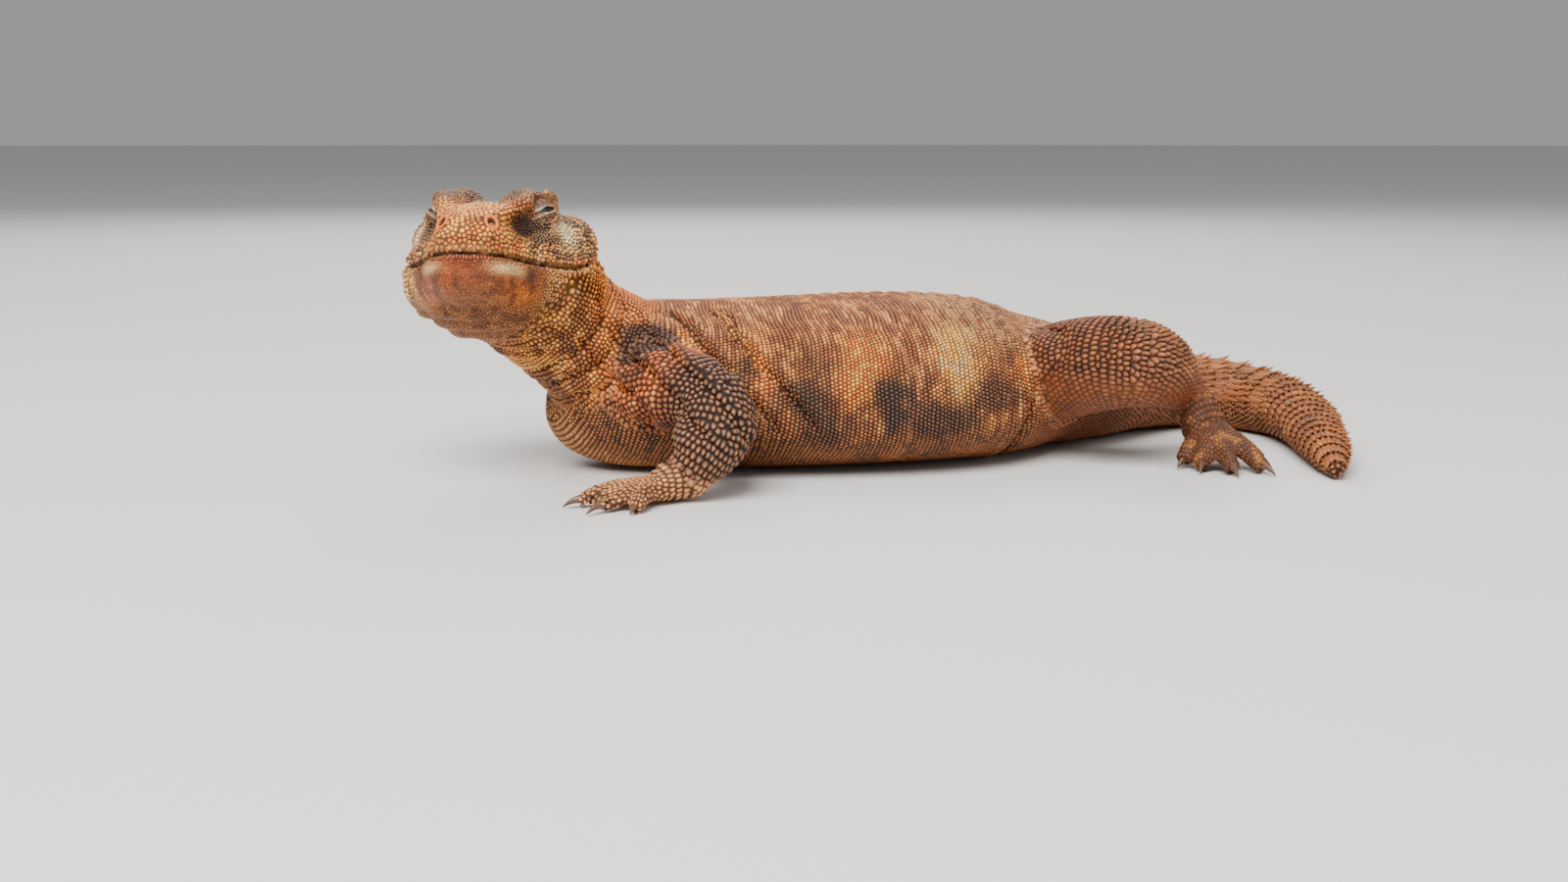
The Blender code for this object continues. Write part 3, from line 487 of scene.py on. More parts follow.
def body_shapes():
    """Every form that the skin covers, each a closed surface that runs into its neighbours."""
    shapes = [loft(TRUNK, 90, 64, boxy=0.93), loft(NECK, 40, 56, up=NECK_UP), loft(TAIL, 130, 40)]
    shapes += head_shapes()
    for limb, (rows, up, *_, wrist) in LIMBS.items():
        shapes += [loft(rows, 60, 40, up=up), loft(palm_rows(limb), 20, 24)]
        ankle, palm = np.array(rows[-1][:3]), np.array(LIMBS[limb][2], float)
        shapes += [ellipsoid(ankle, (1.3 * wrist, 1.3 * wrist, 1.2 * wrist)),
                   ellipsoid(0.5 * (ankle + palm), (1.15 * wrist, 1.15 * wrist, 1.15 * wrist)),
                   ellipsoid(palm * (1, 1, 0.78), (1.3 * wrist, 1.3 * wrist, 0.75 * wrist))]
        shapes += [loft(digit_rows(*digit[:3]), 20, 16) for digit in digits(limb)]
    return shapes


# Places on the body

HEAD_ROWS = ((-17, 0, -1, 16, 11, 15), (-9, 0, -1, 20.5, 13.5, 17), (0, 0, -1, 21, 15, 17),
             (7, 0, -1, 18, 15, 14), (13, 0, 0, 14, 13, 12), (19, 0, 1, 10.5, 10, 9), (26, 0, 2, 7, 6, 7))


def region_rows():
    """The path of each region of the body, with its up direction, in the order that regions are numbered."""
    head = np.array(HEAD_ROWS, float)
    head[:, :3] = from_head(head[:, :3])
    regions = {"head": (head, UP), "neck": (np.array(NECK, float), NECK_UP),
               "trunk": (np.array(TRUNK, float), UP), "tail": (np.array(TAIL, float), UP)}
    for limb, (rows, up, *_) in LIMBS.items():
        regions[limb] = (np.array(rows, float), up)
    for limb in LIMBS:
        regions[limb + "_palm"] = (palm_rows(limb), UP)
        for number, digit in enumerate(digits(limb)):
            regions[f"{limb}_digit{number}"] = (digit_rows(*digit[:3]), UP)
    return regions


REGIONS = region_rows()
NUMBER = {name: number for number, name in enumerate(REGIONS)}


class Place:
    """For each point its nearest region, the part of that region's length, the angle round it and how near
    it is to every region: the length of (side / half width, upright / height, overshoot / half width)."""

    def __init__(self, points):
        self.points = points
        count = len(points)
        self.ratio = np.full((len(REGIONS), count), FAR, np.float32)
        self.t = np.zeros(count)
        self.angle = np.zeros(count)
        self.lie = np.zeros((count, 3))
        best = np.full(count, FAR)
        self.region = np.zeros(count, int)
        for number, (rows, up) in enumerate(REGIONS.values()):
            fine = smooth_rows(rows, PLACE_STEPS)
            tangents, sides, uprights = path_frames(fine[:, :3], up)
            reach = fine[:, 3:].max() * 2.2
            low, high = fine[:, :3].min(axis=0) - reach, fine[:, :3].max(axis=0) + reach
            near = np.nonzero(((points > low) & (points < high)).all(axis=1))[0]
            if not len(near):
                continue
            gaps = points[near, None, :] - fine[None, :, :3]
            index = np.argmin((gaps ** 2).sum(axis=2), axis=1)
            gap = gaps[np.arange(len(near)), index]
            across = (gap * sides[index]).sum(axis=1)
            rise = (gap * uprights[index]).sum(axis=1)
            along = (gap * tangents[index]).sum(axis=1)
            height = np.where(rise >= 0, fine[index, 4], fine[index, 5])
            half = fine[index, 3]
            ratio = np.sqrt((across / half) ** 2 + (rise / height) ** 2 + (along / half) ** 2)
            self.ratio[number, near] = ratio
            nearer = ratio < best[near]
            chosen = near[nearer]
            best[chosen] = ratio[nearer]
            self.region[chosen] = number
            self.t[chosen] = index[nearer] / (PLACE_STEPS - 1)
            self.angle[chosen] = np.arctan2(rise[nearer], across[nearer])
            self.lie[chosen] = tangents[index[nearer]]
        self.lie[self.region == NUMBER["head"]] *= -1

    def weight(self, *names):
        """How much a point belongs to any of these regions, from 0 to 1, soft across their borders."""
        chosen = [number for name, number in NUMBER.items() if any(name.startswith(n) for n in names)]
        others = [number for number in NUMBER.values() if number not in chosen]
        gap = self.ratio[others].min(axis=0) - self.ratio[chosen].min(axis=0)
        return smooth_step(gap, -0.16, 0.16)


# Colours of the animal, in linear light

TAN = (0.40, 0.18, 0.085)
SAND = (0.52, 0.27, 0.13)
BROWN = (0.20, 0.078, 0.036)
UMBER = (0.095, 0.032, 0.016)
DARK = (0.034, 0.012, 0.007)
RUST = (0.24, 0.062, 0.018)
YELLOW = (0.62, 0.32, 0.095)
CREAM = (0.76, 0.55, 0.34)
OCHRE = (0.33, 0.145, 0.05)
# PALE: the colour that the painted highlight on the scales' tips is mixed towards
PALE = (0.85, 0.56, 0.32)
SLATE = (0.20, 0.135, 0.10)
CHARCOAL = (0.05, 0.021, 0.015)
AMBER = (0.70, 0.22, 0.030)
SUN = (0.90, 0.47, 0.11)
IVORY = (0.93, 0.72, 0.45)


def flat(colour, count):
    """The same colour at every point."""
    return np.tile(np.asarray(colour, float), (count, 1))


def mouth_height(forward, up):
    """Height above the line of the closed mouth."""
    line = np.array(MOUTH_LINE, float)
    return up - np.interp(forward, line[:, 0], line[:, 1])


def mouth_side(forward, side):
    """How far out a place of the head is, with 0.6 of its way along the snout added to its way to the
    side."""
    return side + 0.6 * np.clip(forward, 0, 30)


def brow_area(forward, side, up):
    """1 on the brows and less round them."""
    return bump(forward - 3.0, 7.5) * smooth_step(up, 9.0, 11.5) * smooth_step(side, 6.0, 8.0)


def head_colours(points):
    """Amber and yellow snout, grey crown with pale specks, brown brows, a dark hollow before the eye that is
    partly dark skin and partly painted shade, painted shadow under the eye, a cheek of ivory scales among
    dark ones, a pale patch under and behind the eye, a brown lip over a dark line, a rust chin with a painted
    highlight as a pale band on each side, an ochre throat with brown mottles, the chin and throat darkened
    partly as painted shade under the head, painted shade in the nostrils, and amber on the rear."""
    f, side, u = head_places(points)
    above = mouth_height(f, u)
    fine, other, broad = noise(points, 1.0, 3), noise(points, 1.35, 4), layered(points, 5.0, 5)
    upper = smooth_step(above, -0.3, 0.3)

    cheek = smooth_step(side - 0.45 * f, 3.0, 7.0)
    temple = smooth_step(-f, 1.0, 6.0) * smooth_step(u, -2, 3)
    crown = smooth_step(u, 9.5, 12.0) * (1 - smooth_step(f, 5, 12))
    top = smooth_step(u, 12.0, 14.5) * smooth_step(fine + 0.4 * other, 0.40, 0.62)
    edge = bump(side - 15.0 + 0.35 * f, 2.2) * smooth_step(u, 9, 12)
    brow = brow_area(f, side, u)
    streak = noise(np.stack([0.5 * f, 1.8 * side, 0.5 * u], axis=1), 1.0, 6)
    hollow = bump(f - 11.0, 5.4) * bump(u - 7.4, 3.1) * smooth_step(side, 4.3, 6.2)
    patch = bump(f - 1.5, 2.3) * bump(u - 6.3, 2.6) * smooth_step(side, 12.5, 14.0)
    colour = painted(
        flat(AMBER, len(points)), (SUN, smooth_step(fine, 0.30, 0.62)),
        (CREAM, 0.4 * smooth_step(other, 0.64, 0.8)),
        (RUST, 0.6 * smooth_step(broad, 0.55, 0.68)),
        ((0.90, 0.60, 0.27), cheek * 0.85 * smooth_step(other, 0.40, 0.58)),
        (DARK, cheek * 0.95 * smooth_step(fine, 0.46, 0.55)),
        (SLATE, 0.8 * temple),
        ((0.93, 0.66, 0.36), 0.9 * temple * smooth_step(other, 0.52, 0.64)),
        (DARK, 0.95 * temple * smooth_step(fine, 0.50, 0.58)),
        (SLATE, 0.85 * crown),
        (IVORY, 0.6 * crown * smooth_step(other, 0.60, 0.75)),
        (DARK, 0.85 * crown * smooth_step(fine, 0.58, 0.68)),
        (AMBER, 0.8 * edge * smooth_step(broad, 0.3, 0.5)),
        ((0.46, 0.24, 0.135), 0.9 * brow),
        ((0.10, 0.055, 0.042), 0.8 * top * smooth_step(12 - side, 0, 3)),
        (UMBER, 0.75 * brow * smooth_step(streak, 0.5, 0.7)),
        # dark skin and painted shade together in the hollow before the eye
        (DARK, np.clip(1.5 * hollow, 0, 0.96)),
        # painted shadow under the lower lid
        (DARK, 0.85 * bump(f - 5.0, 5.5) * bump(u - 4.6, 1.7) * smooth_step(side, 10, 12)),
        ((0.95, 0.80, 0.58), np.clip(2.0 * patch, 0, 0.96)),
        (RUST, 0.6 * bump(above - 2.4, 1.3) * smooth_step(f, 15, 19)),
        ((0.44, 0.23, 0.13), 0.85 * bump(above - 0.55, 0.55) * smooth_step(f, -3, 2)))

    jowl = smooth_step(side, 10.5, 13) * bump(u + 5.2, 4.2) * smooth_step(12 - f, 0, 3)
    mottle = 0.7 * smooth_step(layered(points, 2.0, 8), 0.50, 0.62) * smooth_step(-above, 1.5, 5)
    lower = painted(
        # the 0.74 darkens the throat and chin, partly as painted shade under the head
        0.74 * blend(flat(OCHRE, len(points)), TAN, 0.5 * smooth_step(broad, 0.4, 0.7)),
        # rust chin, partly its own colour and partly painted shade under the head
        ((0.26, 0.055, 0.012), 0.95 * smooth_step(f, 9, 15) * bump(above + 2.8, 4.6)),
        (AMBER, 0.6 * bump(side - 10.5, 3.2) * bump(u + 7.2, 2.6) * smooth_step(f, 2, 7)),
        (UMBER, mottle),
        # painted highlight: a pale band on each side of the chin
        (IVORY, 0.72 * bump(side - 8.6, 3.2) * bump(above + 2.7, 1.25) * smooth_step(f, 8, 11)),
        (blend(flat(SUN, len(points)), IVORY, smooth_step(other, 0.4, 0.6)), 0.9 * jowl),
        (DARK, jowl * 0.9 * smooth_step(fine, 0.52, 0.62)),
        (DARK, 0.85 * bump(side - 12.2, 1.3) * bump(u + 3.2, 2.2) * smooth_step(f, 3, 6)))

    gape = smooth_step(f, -11, -9) * smooth_step(mouth_side(f, side), 10, 12)
    rear = smooth_step(-f, 6, 9) * smooth_step(side, 12, 15) * bump(u - 1, 9)
    nostril = nostril_gap(f, side, u)
    colour = painted(
        lower * (1 - upper)[:, None] + colour * upper[:, None],
        ((0.045, 0.012, 0.008), gape * np.clip(1.4 * bump(above + 0.05, 0.42), 0, 0.97)),
        (AMBER, 0.8 * rear * smooth_step(other, 0.3, 0.5)),
        (AMBER, bump(nostril - 1.7, 0.7)),
        # painted shade in the nostril hole
        ((0.09, 0.012, 0.004), bump(nostril, 1.15)))
    return colour * (0.80 + 0.4 * noise(points, 1.7, 12))[:, None]


def nostril_gap(forward, side, up):
    """Distance from the nearer nostril."""
    f, s, u = NOSTRIL_PLACE
    return np.sqrt((forward - f) ** 2 + (side - s) ** 2 + (up - u) ** 2)


# Marks on the sides: colour, place along the body, its spread, angle up the side, its spread, strength
SIDE_MARKS = (
    (AMBER, -46, 3.5, 38, 14, 0.75), (AMBER, -31, 2.6, 26, 18, 0.85), (AMBER, -7.5, 5.6, 24, 17, 0.95),
    (SUN, 15, 5.5, 30, 20, 0.9), (AMBER, 34, 3.0, 22, 10, 0.8), (AMBER, 1, 3, -22, 12, 0.4),
    (DARK, -34, 2.4, 22, 9, 0.8), (DARK, -21, 6.0, 10, 10, 0.9), (DARK, -17, 5.5, -4, 10, 0.75),
    (DARK, -1.5, 5.2, 9, 12, 1.0), (DARK, 11, 8.5, 0, 7.5, 0.9), (DARK, 25, 7.5, 8, 10, 0.85),
    (DARK, 0, 33, 4, 5, 0.5), (DARK, -3, 3.2, -24, 16, 0.6), (DARK, 12, 2.6, -18, 14, 0.55),
    (DARK, -29, 2.6, -14, 14, 0.35),
)


def trunk_colours(points):
    """Brown and tan back in fine upright rows, paler over the loins, with the side marks in a band of amber
    and yellow above a dark one, and an ochre lower side with dark dots, its ochre darkened partly as painted
    shade under the body. The angle up the side is 90 on the back."""
    x, y, z = points.T
    rows = smooth_rows(TRUNK, 80)
    middle = np.interp(x, rows[:, 0], rows[:, 1])
    height = np.interp(x, rows[:, 0], rows[:, 2])
    psi = np.degrees(np.arctan2(1.35 * (z - height), np.abs(y - middle)))
    turn = 0.42 * psi + np.where(y > middle, 60.0, 0.0)
    streak = noise(np.stack([x, 0.45 * turn, 0 * x], axis=1), 0.95, 21)
    broad = layered(np.stack([x, 0.55 * turn, 0 * x], axis=1), 6.0, 23)
    fine = noise(points, 0.9, 25)
    ragged = 1.7 * (broad - 0.5)
    loins = smooth_step(x, 4, 22) * smooth_step(psi, 28, 44)
    lower = smooth_step(-psi, 2, 16)
    colour = painted(
        flat((0.27, 0.090, 0.030), len(points)), ((0.68, 0.34, 0.13), smooth_step(streak, 0.42, 0.72)),
        (UMBER, 0.6 * smooth_step(broad + 0.3 * streak, 0.68, 0.82)),
        ((0.50, 0.31, 0.185), 0.75 * loins * smooth_step(fine + 0.4 * streak, 0.4, 0.8)),
        # lower side: its own ochre, darkened partly as painted shade under the body
        ((0.25, 0.10, 0.032), 0.9 * lower),
        (DARK, 0.75 * lower * smooth_step(fine, 0.60, 0.72)))
    shift = 3.5 * ragged + 4.0 * (streak - 0.5)
    for mark, place, length, angle, reach, strength in SIDE_MARKS:
        amount = bump(x - place + shift, length) * bump(psi - angle + 9 * ragged, reach)
        amount = smooth_step(strength * amount, 0.08, 0.62)
        if mark is DARK:
            amount = amount * (0.80 + 0.2 * smooth_step(fine, 0.2, 0.6))
            colour = blend(colour, DARK, amount * strength)
        else:
            hue = blend(flat(mark, len(points)), SUN if mark is AMBER else CREAM,
                        smooth_step(fine, 0.45, 0.75))
            colour = colour + (hue - colour) * (strength * amount)[:, None]
    colour = painted(
        colour, (SAND, smooth_step(-psi, 50, 66) * 0.7),
        ((0.22, 0.078, 0.034), 0.8 * smooth_step(x, 34, 40) * smooth_step(46 - psi, 0, 20)))
    return colour * (0.72 + 0.56 * noise(points, 1.0, 31))[:, None]


def neck_colours(points):
    """Orange-brown with yellow and ivory beads and dark brown mottles, more amber at the breast."""
    mottle, fine = layered(points, 4.0, 41), noise(points, 1.1, 42)
    colour = painted(
        flat((0.50, 0.20, 0.055), len(points)), (SUN, smooth_step(mottle + 0.3 * fine, 0.5, 0.75) * 0.9),
        (IVORY, 0.5 * smooth_step(fine, 0.62, 0.8)),
        (UMBER, 0.75 * smooth_step(layered(points, 3.0, 43), 0.52, 0.64)),
        (AMBER, 0.6 * smooth_step(points[:, 0], -72, -62)))
    return colour * (0.75 + 0.45 * noise(points, 1.3, 44))[:, None]


def feet_of(leg):
    """The names that the regions of both hands or both feet start with."""
    return [f"{leg}_{side}_{part}" for side in ("left", "right") for part in ("palm", "digit")]


def foreleg_colours(place):
    """Orange-brown upper arm with dark mottles, dark forearm and tan-pink hand."""
    points = place.points
    hand = place.weight(*feet_of("foreleg"))
    low = np.maximum(smooth_step(place.t, 0.40, 0.54), smooth_step(15.0 - points[:, 2], 0, 4.0))
    colour = painted(
        flat((0.40, 0.115, 0.028), len(points)),
        (AMBER, 0.8 * smooth_step(noise(points, 3.2, 51), 0.45, 0.7)),
        (DARK, 0.8 * smooth_step(layered(points, 4.2, 52), 0.53, 0.64)),
        (IVORY, 0.35 * smooth_step(noise(points, 1.3, 53), 0.62, 0.8)),
        ((0.085, 0.032, 0.022), 0.94 * low),
        ((0.62, 0.35, 0.215), 0.85 * np.maximum(hand, smooth_step(6.0 - points[:, 2], 0, 2.5))))
    return colour * (0.75 + 0.5 * noise(points, 1.5, 54))[:, None]


def hindleg_colours(place):
    """Brown thigh with tan scales and dark mottles, redder below, and a dark foot with yellowish spots."""
    points = place.points
    foot = place.weight(*feet_of("hindleg"))
    colour = painted(
        flat(BROWN, len(points)), (TAN, 0.6 * smooth_step(noise(points, 1.6, 61), 0.5, 0.75)),
        (UMBER, 0.6 * smooth_step(layered(points, 3.6, 63), 0.52, 0.66)),
        ((0.20, 0.072, 0.026), 0.85 * smooth_step(25 - points[:, 2], 0, 6)),
        (RUST, 0.35 * smooth_step(layered(points, 4.0, 62), 0.5, 0.66)),
        ((0.11, 0.045, 0.025), 0.9 * foot),
        (YELLOW, 0.4 * (smooth_step(noise(points, 2.4, 64), 0.6, 0.8) * foot)))
    return colour * (0.72 + 0.5 * noise(points, 1.5, 65))[:, None]


def softness(place):
    """1 where the skin looks smooth: the chin, the brows and the under side of the thighs, and 0 where its
    scales stand out."""
    f, side, u = head_places(place.points)
    under = smooth_step(-mouth_height(f, u), 0.5, 2.0)
    jowl = smooth_step(side, 9.5, 12) * smooth_step(12 - f, 0, 3) * smooth_step(u, -11, -8)
    chin = under * (1 - 0.9 * jowl) * (0.55 + 0.4 * smooth_step(f, 9, 15) * smooth_step(u, -12, -7))
    brow = brow_area(f, side, u)
    thigh = place.weight("hindleg") * smooth_step(25 - place.points[:, 2], 0, 6)
    return np.clip(place.weight("head") * np.maximum(chin, 0.55 * brow) + 0.75 * thigh, 0, 1)


def tail_colours(points):
    """Tan and rust with dark brown mottles."""
    colour = painted(
        flat(TAN, len(points)), (RUST, 0.6 * smooth_step(layered(points, 4.5, 71), 0.35, 0.65)),
        (UMBER, 0.55 * smooth_step(layered(points, 3.0, 73), 0.52, 0.68)))
    return colour * (0.50 + 0.40 * noise(points, 1.6, 74))[:, None]


def markings(place):
    """The colour of the animal at each point: the regions' own colours, mixed across their borders, then a
    dark patch on the shoulder, and green and blue raised to powers that warm the whole."""
    points = place.points
    colour = trunk_colours(points)
    for name, colours, where in (("neck", neck_colours, points), ("tail", tail_colours, points),
                                 ("foreleg", foreleg_colours, place), ("hindleg", hindleg_colours, place),
                                 ("head", head_colours, points)):
        amount = place.weight(name)[:, None]
        colour = colour * (1 - amount) + colours(where) * amount
    x, y, z = points.T
    shoulder = bump(x + 54.5, 8.0) * bump(np.abs(y) - 20, 9.0) * bump(z - 30, 7.5)
    shoulder = shoulder * (1 - place.weight("head")) + 0.3 * (noise(points, 3.0, 33) - 0.5)
    colour = blend(colour, CHARCOAL, 0.96 * smooth_step(shoulder, 0.32, 0.55))
    return np.clip(colour, 0, 1) ** np.array((1.0, 1.08, 1.26))


# The skin

def eye_frame(side):
    """Centre of an eye with the directions out of the head, forward along the lids' slit and up across it."""
    out = unit(np.array((0.48, 0.76 * side, 0.40)))
    along = unit(np.array((0.82, -0.48 * side, -0.26)))
    along = unit(along - out * (along @ out))
    return EYE_SET * (1, side, 1), out, along, np.cross(out, along) * side


def eye_angles(local, side):
    """Longitude along the slit, latitude across it and distance from the eye's centre, for head-local
    points."""
    centre, out, along, across = eye_frame(side)
    gap = local - centre
    distance = np.linalg.norm(gap, axis=1)
    latitude = np.degrees(np.arcsin(np.clip((gap @ across) / np.maximum(distance, 1e-6), -1, 1)))
    return np.degrees(np.arctan2(gap @ along, gap @ out)), latitude, distance


def lid_ring(longitude, latitude):
    """1 on the outline of the two lids together, less inside it: they reach 41 degrees along the slit, 22
    above it and 42 below it."""
    return np.sqrt((longitude / 41) ** 2 + (latitude / np.where(latitude > 0, 22, 42)) ** 2)


def head_relief(points):
    """How far the skin of the head moves out: a rolled lip over a groove for the mouth, nostril cups with
    raised rims, ear slits, a hollow before and under the eye, creases round the lids, and folds on the
    throat."""
    local = to_head(points)
    f, l, u = local.T
    side = np.abs(l)
    above = mouth_height(f, u)
    near = np.clip((f + 10.5) / 2.0, 0, 1) * (mouth_side(f, side) > 11)
    push = near * (-1.25 * bump(above, 0.55) + 0.55 * bump(above - 1.1, 0.7) + 0.35 * bump(above + 1.6, 1.0))
    nostril = nostril_gap(f, side, u)
    push += -2.6 * bump(nostril, 1.2) + 0.3 * bump(nostril - 2.2, 0.6)
    push += -2.4 * (side > 13) * bump(f - EAR_PLACE[0], 1.3) * bump(u - EAR_PLACE[2], 4.2)
    push += -2.4 * smooth_step(side, 4.5, 7.0) * bump(f - 11.2, 4.0) * bump(u - 7.4, 2.5)
    push += -0.9 * smooth_step(side, 9, 12) * bump(f - 4, 6.0) * bump(u - 4.0, 1.5)
    for eye_side in (-1, 1):
        longitude, latitude, distance = eye_angles(local, eye_side)
        ring = lid_ring(longitude, latitude)
        close = (distance < 9) * (np.abs(longitude) < 120)
        below = 0.35 + 0.65 * smooth_step(-latitude, -10, 15)
        push += close * (-0.9 * below * bump(ring - 1.13, 0.13) + 0.3 * bump(ring - 1.42, 0.12))
        push += close * (latitude > 0) * (0.4 * bump(ring - 1.3, 0.16) - 0.3 * bump(ring - 1.6, 0.12))
    folds = np.sin(2 * math.pi * (u + 0.16 * f + 1.2 * noise(points, 8.0, 81)) / 3.1)
    push += 0.36 * folds * smooth_step(-u, 9.5, 12.5) * smooth_step(f + 14, 0, 6)
    return push


def body_relief(points):
    """Folds of loose skin: slanting ones behind the shoulder, rings round the neck, one before the thigh and
    fine upright wrinkles on the side. Each is a sum of bumps across its own direction."""
    x, y, z = points.T
    side = np.abs(y)
    slant = x + 0.75 * (z - 20) + 2.2 * (noise(points, 9.0, 91) - 0.5)
    area = smooth_step(side, 7, 14) * smooth_step(z, 8, 18)
    push = sum(-1.35 * bump(slant - place, 1.0) + 0.75 * bump(slant - place - 2.6, 1.5)
               for place in (-60.0, -52.0, -43.3, -33.7, -24.5)) * area
    neck = (points - np.array((-72.1, -3.6, 36))) @ unit(np.array((-0.72, -0.26, 0.64)))
    rings = sum(bump(neck + place + 1.4 * (noise(points, 7.0, 93) - 0.5), 1.0) for place in (1.5, 6.2, 11.0))
    push += -1.3 * rings * smooth_step(x, -84, -76) * smooth_step(-54 - x, 0, 6)
    groin = x - 0.35 * (z - 18) + 1.2 * noise(points, 8.0, 95)
    groin = -1.1 * bump(groin - 37.5, 1.4) + 0.5 * bump(groin - 34.5, 1.8)
    push += groin * smooth_step(side, 12, 18) * (z < 33)
    wrinkle = np.sin(2 * math.pi * (x + 0.25 * z + 3.0 * noise(points, 9.0, 97)) / 4.6)
    push += 0.24 * wrinkle * smooth_step(z, 6, 14) * smooth_step(x, -22, 4) * smooth_step(44 - x, 0, 8)
    return push


def skin_points(points, normals):
    """The skin under its scales: relief, then sunk by the scales' depth, hollow under the lids, flat on the
    floor."""
    head = smooth_step(1.35 - Place(points).ratio[NUMBER["head"]], 0, 0.2)
    push = -SKIN_DEPTH + head * head_relief(points) + (1 - head) * body_relief(points)
    moved = points + normals * push[:, None]
    for side in (-1, 1):
        local = to_head(moved)
        centre = eye_frame(side)[0]
        longitude, latitude, distance = eye_angles(local, side)
        inside = 1 - smooth_step(lid_ring(longitude, latitude), 0.80, 1.0)
        target = centre + (local - centre) * ((EYE_RADIUS - 0.7) / np.maximum(distance, 1e-6))[:, None]
        inside = (inside * (distance < 8.5))[:, None]
        moved = from_head(local * (1 - inside) + target * inside)
    moved[:, 2] = np.maximum(moved[:, 2], SKIN_LOWEST)
    return moved


def make_skin():
    """All forms fused by a voxel remesh into one closed skin, smoothed, shaped and coloured."""
    points, quads, triangles = joined(body_shapes())
    obj = new_mesh("skin", points, [quads, triangles])
    remesh = obj.modifiers.new("fuse", "REMESH")
    remesh.mode = "VOXEL"
    remesh.voxel_size = VOXEL_SIZE * MM
    smooth = obj.modifiers.new("smooth", "SMOOTH")
    smooth.factor = 0.5
    smooth.iterations = 4
    graph = bpy.context.evaluated_depsgraph_get()
    mesh = bpy.data.meshes.new_from_object(obj.evaluated_get(graph))
    obj.modifiers.clear()
    old, obj.data = obj.data, mesh
    bpy.data.meshes.remove(old)
    mesh.name = "skin"
    write_points(mesh, skin_points(read_points(mesh), read_normals(mesh)))
    mesh.shade_smooth()
    place = Place(read_points(mesh))
    set_colour(mesh, "markings", skin_tone(place))
    return obj


def skin_tone(place):
    """The markings, darkened as painted shade where scales will cover the skin and show it only in their
    gaps, and at full strength on the bare lip.
    """
    f, _, u = head_places(place.points)
    lip = bump(mouth_height(f, u) - 0.7, 0.7) * smooth_step(f, -3, 2) * (place.region == NUMBER["head"])
    bare = np.maximum(lip, 0.6 * softness(place))
    # painted shade: the skin in the gaps between scales at 0.16 of the markings
    return markings(place) * (0.16 + 0.84 * bare)[:, None]


class Surface:
    """The finished skin, for setting scales on it."""

    def __init__(self):
        mesh = bpy.data.objects["skin"].data
        self.points = read_points(mesh)
        mesh.calc_loop_triangles()
        faces = np.empty(len(mesh.loop_triangles) * 3, np.int32)
        mesh.loop_triangles.foreach_get("vertices", faces)
        self.faces = faces.reshape(-1, 3)
        self.tree = BVHTree.FromPolygons(self.points.tolist(), self.faces.tolist())
        self.vertex_normals = read_normals(mesh)

    def triangles(self):
        """Corners and area of each triangle."""
        corners = self.points[self.faces]
        square = np.cross(corners[:, 1] - corners[:, 0], corners[:, 2] - corners[:, 0])
        return corners, 0.5 * np.linalg.norm(square, axis=1)

    def nearest(self, points, reach):
        """Nearest places on the skin with smooth normals, and which points have one within reach."""
        hits = [self.tree.find_nearest(point, reach) for point in points.tolist()]
        kept = np.array([hit[0] is not None for hit in hits])
        places = np.array([tuple(hit[0]) for hit in hits if hit[0] is not None]).reshape(-1, 3)
        corners = self.faces[np.array([hit[2] for hit in hits if hit[0] is not None], int)]
        gaps = np.linalg.norm(self.points[corners] - places[:, None, :], axis=2)
        weights = 1 / np.maximum(gaps, 1e-3)
        normals = unit((self.vertex_normals[corners] * weights[:, :, None]).sum(axis=1))
        return places, normals, kept


# Scales

class Seeds:
    """Places of scales on the skin: point, normal, direction of the lie, spacing and region for each."""

    def __init__(self, points, normals, sizes):
        self.points, self.normals, self.sizes, self.place = points, normals, sizes, Place(points)
        lie = self.place.lie - normals * (self.place.lie * normals).sum(axis=1, keepdims=True)
        self.lie = unit(lie + 1e-6)
        self.across = np.cross(normals, self.lie)

    def kept(self, mask):
        """The seeds of a mask."""
        return Seeds(self.points[mask], self.normals[mask], self.sizes[mask])


def lattice(rows, up, boxy, along, around):
    """Points in rings along a path, in staggered order: each ring has its length / around points, evenly
    spaced by length round it, and every other ring is turned by half a step."""
    rings = max(3, int(path_length(rows) / along))
    stations = smooth_rows(rows, rings)
    fine = np.tile(np.linspace(0, 2 * math.pi, 97), (rings, 1))
    outline = ring_points(stations, fine, up, boxy)
    steps = np.linalg.norm(np.diff(outline, axis=1), axis=2)
    run = np.concatenate([np.zeros((rings, 1)), np.cumsum(steps, axis=1)], axis=1)
    found = []
    for ring in range(rings):
        count = max(5, int(round(run[ring, -1] / around)))
        wanted = (np.arange(count) + 0.5 * (ring % 2)) / count * run[ring, -1]
        found.append(np.stack([np.interp(wanted, run[ring], column) for column in outline[ring].T], axis=1))
    points = np.vstack(found)
    return points + 1.6 * (noise(points, 8.0, 17) - 0.5)[:, None] * np.array((1.0, 0, 0))


def tree_of(points):
    """A search tree over the points."""
    tree = KDTree(len(points))
    for index, point in enumerate(points.tolist()):
        tree.insert(point, index)
    tree.balance()
    return tree


def thinned(points, sizes, closest):
    """Which points stay when each one removes later ones closer than its size times a share."""
    tree = tree_of(points)
    stays = np.ones(len(points), bool)
    for index, point in enumerate(points.tolist()):
        if stays[index]:
            for _, other, _ in tree.find_range(point, closest * sizes[index]):
                if other > index:
                    stays[other] = False
    return stays


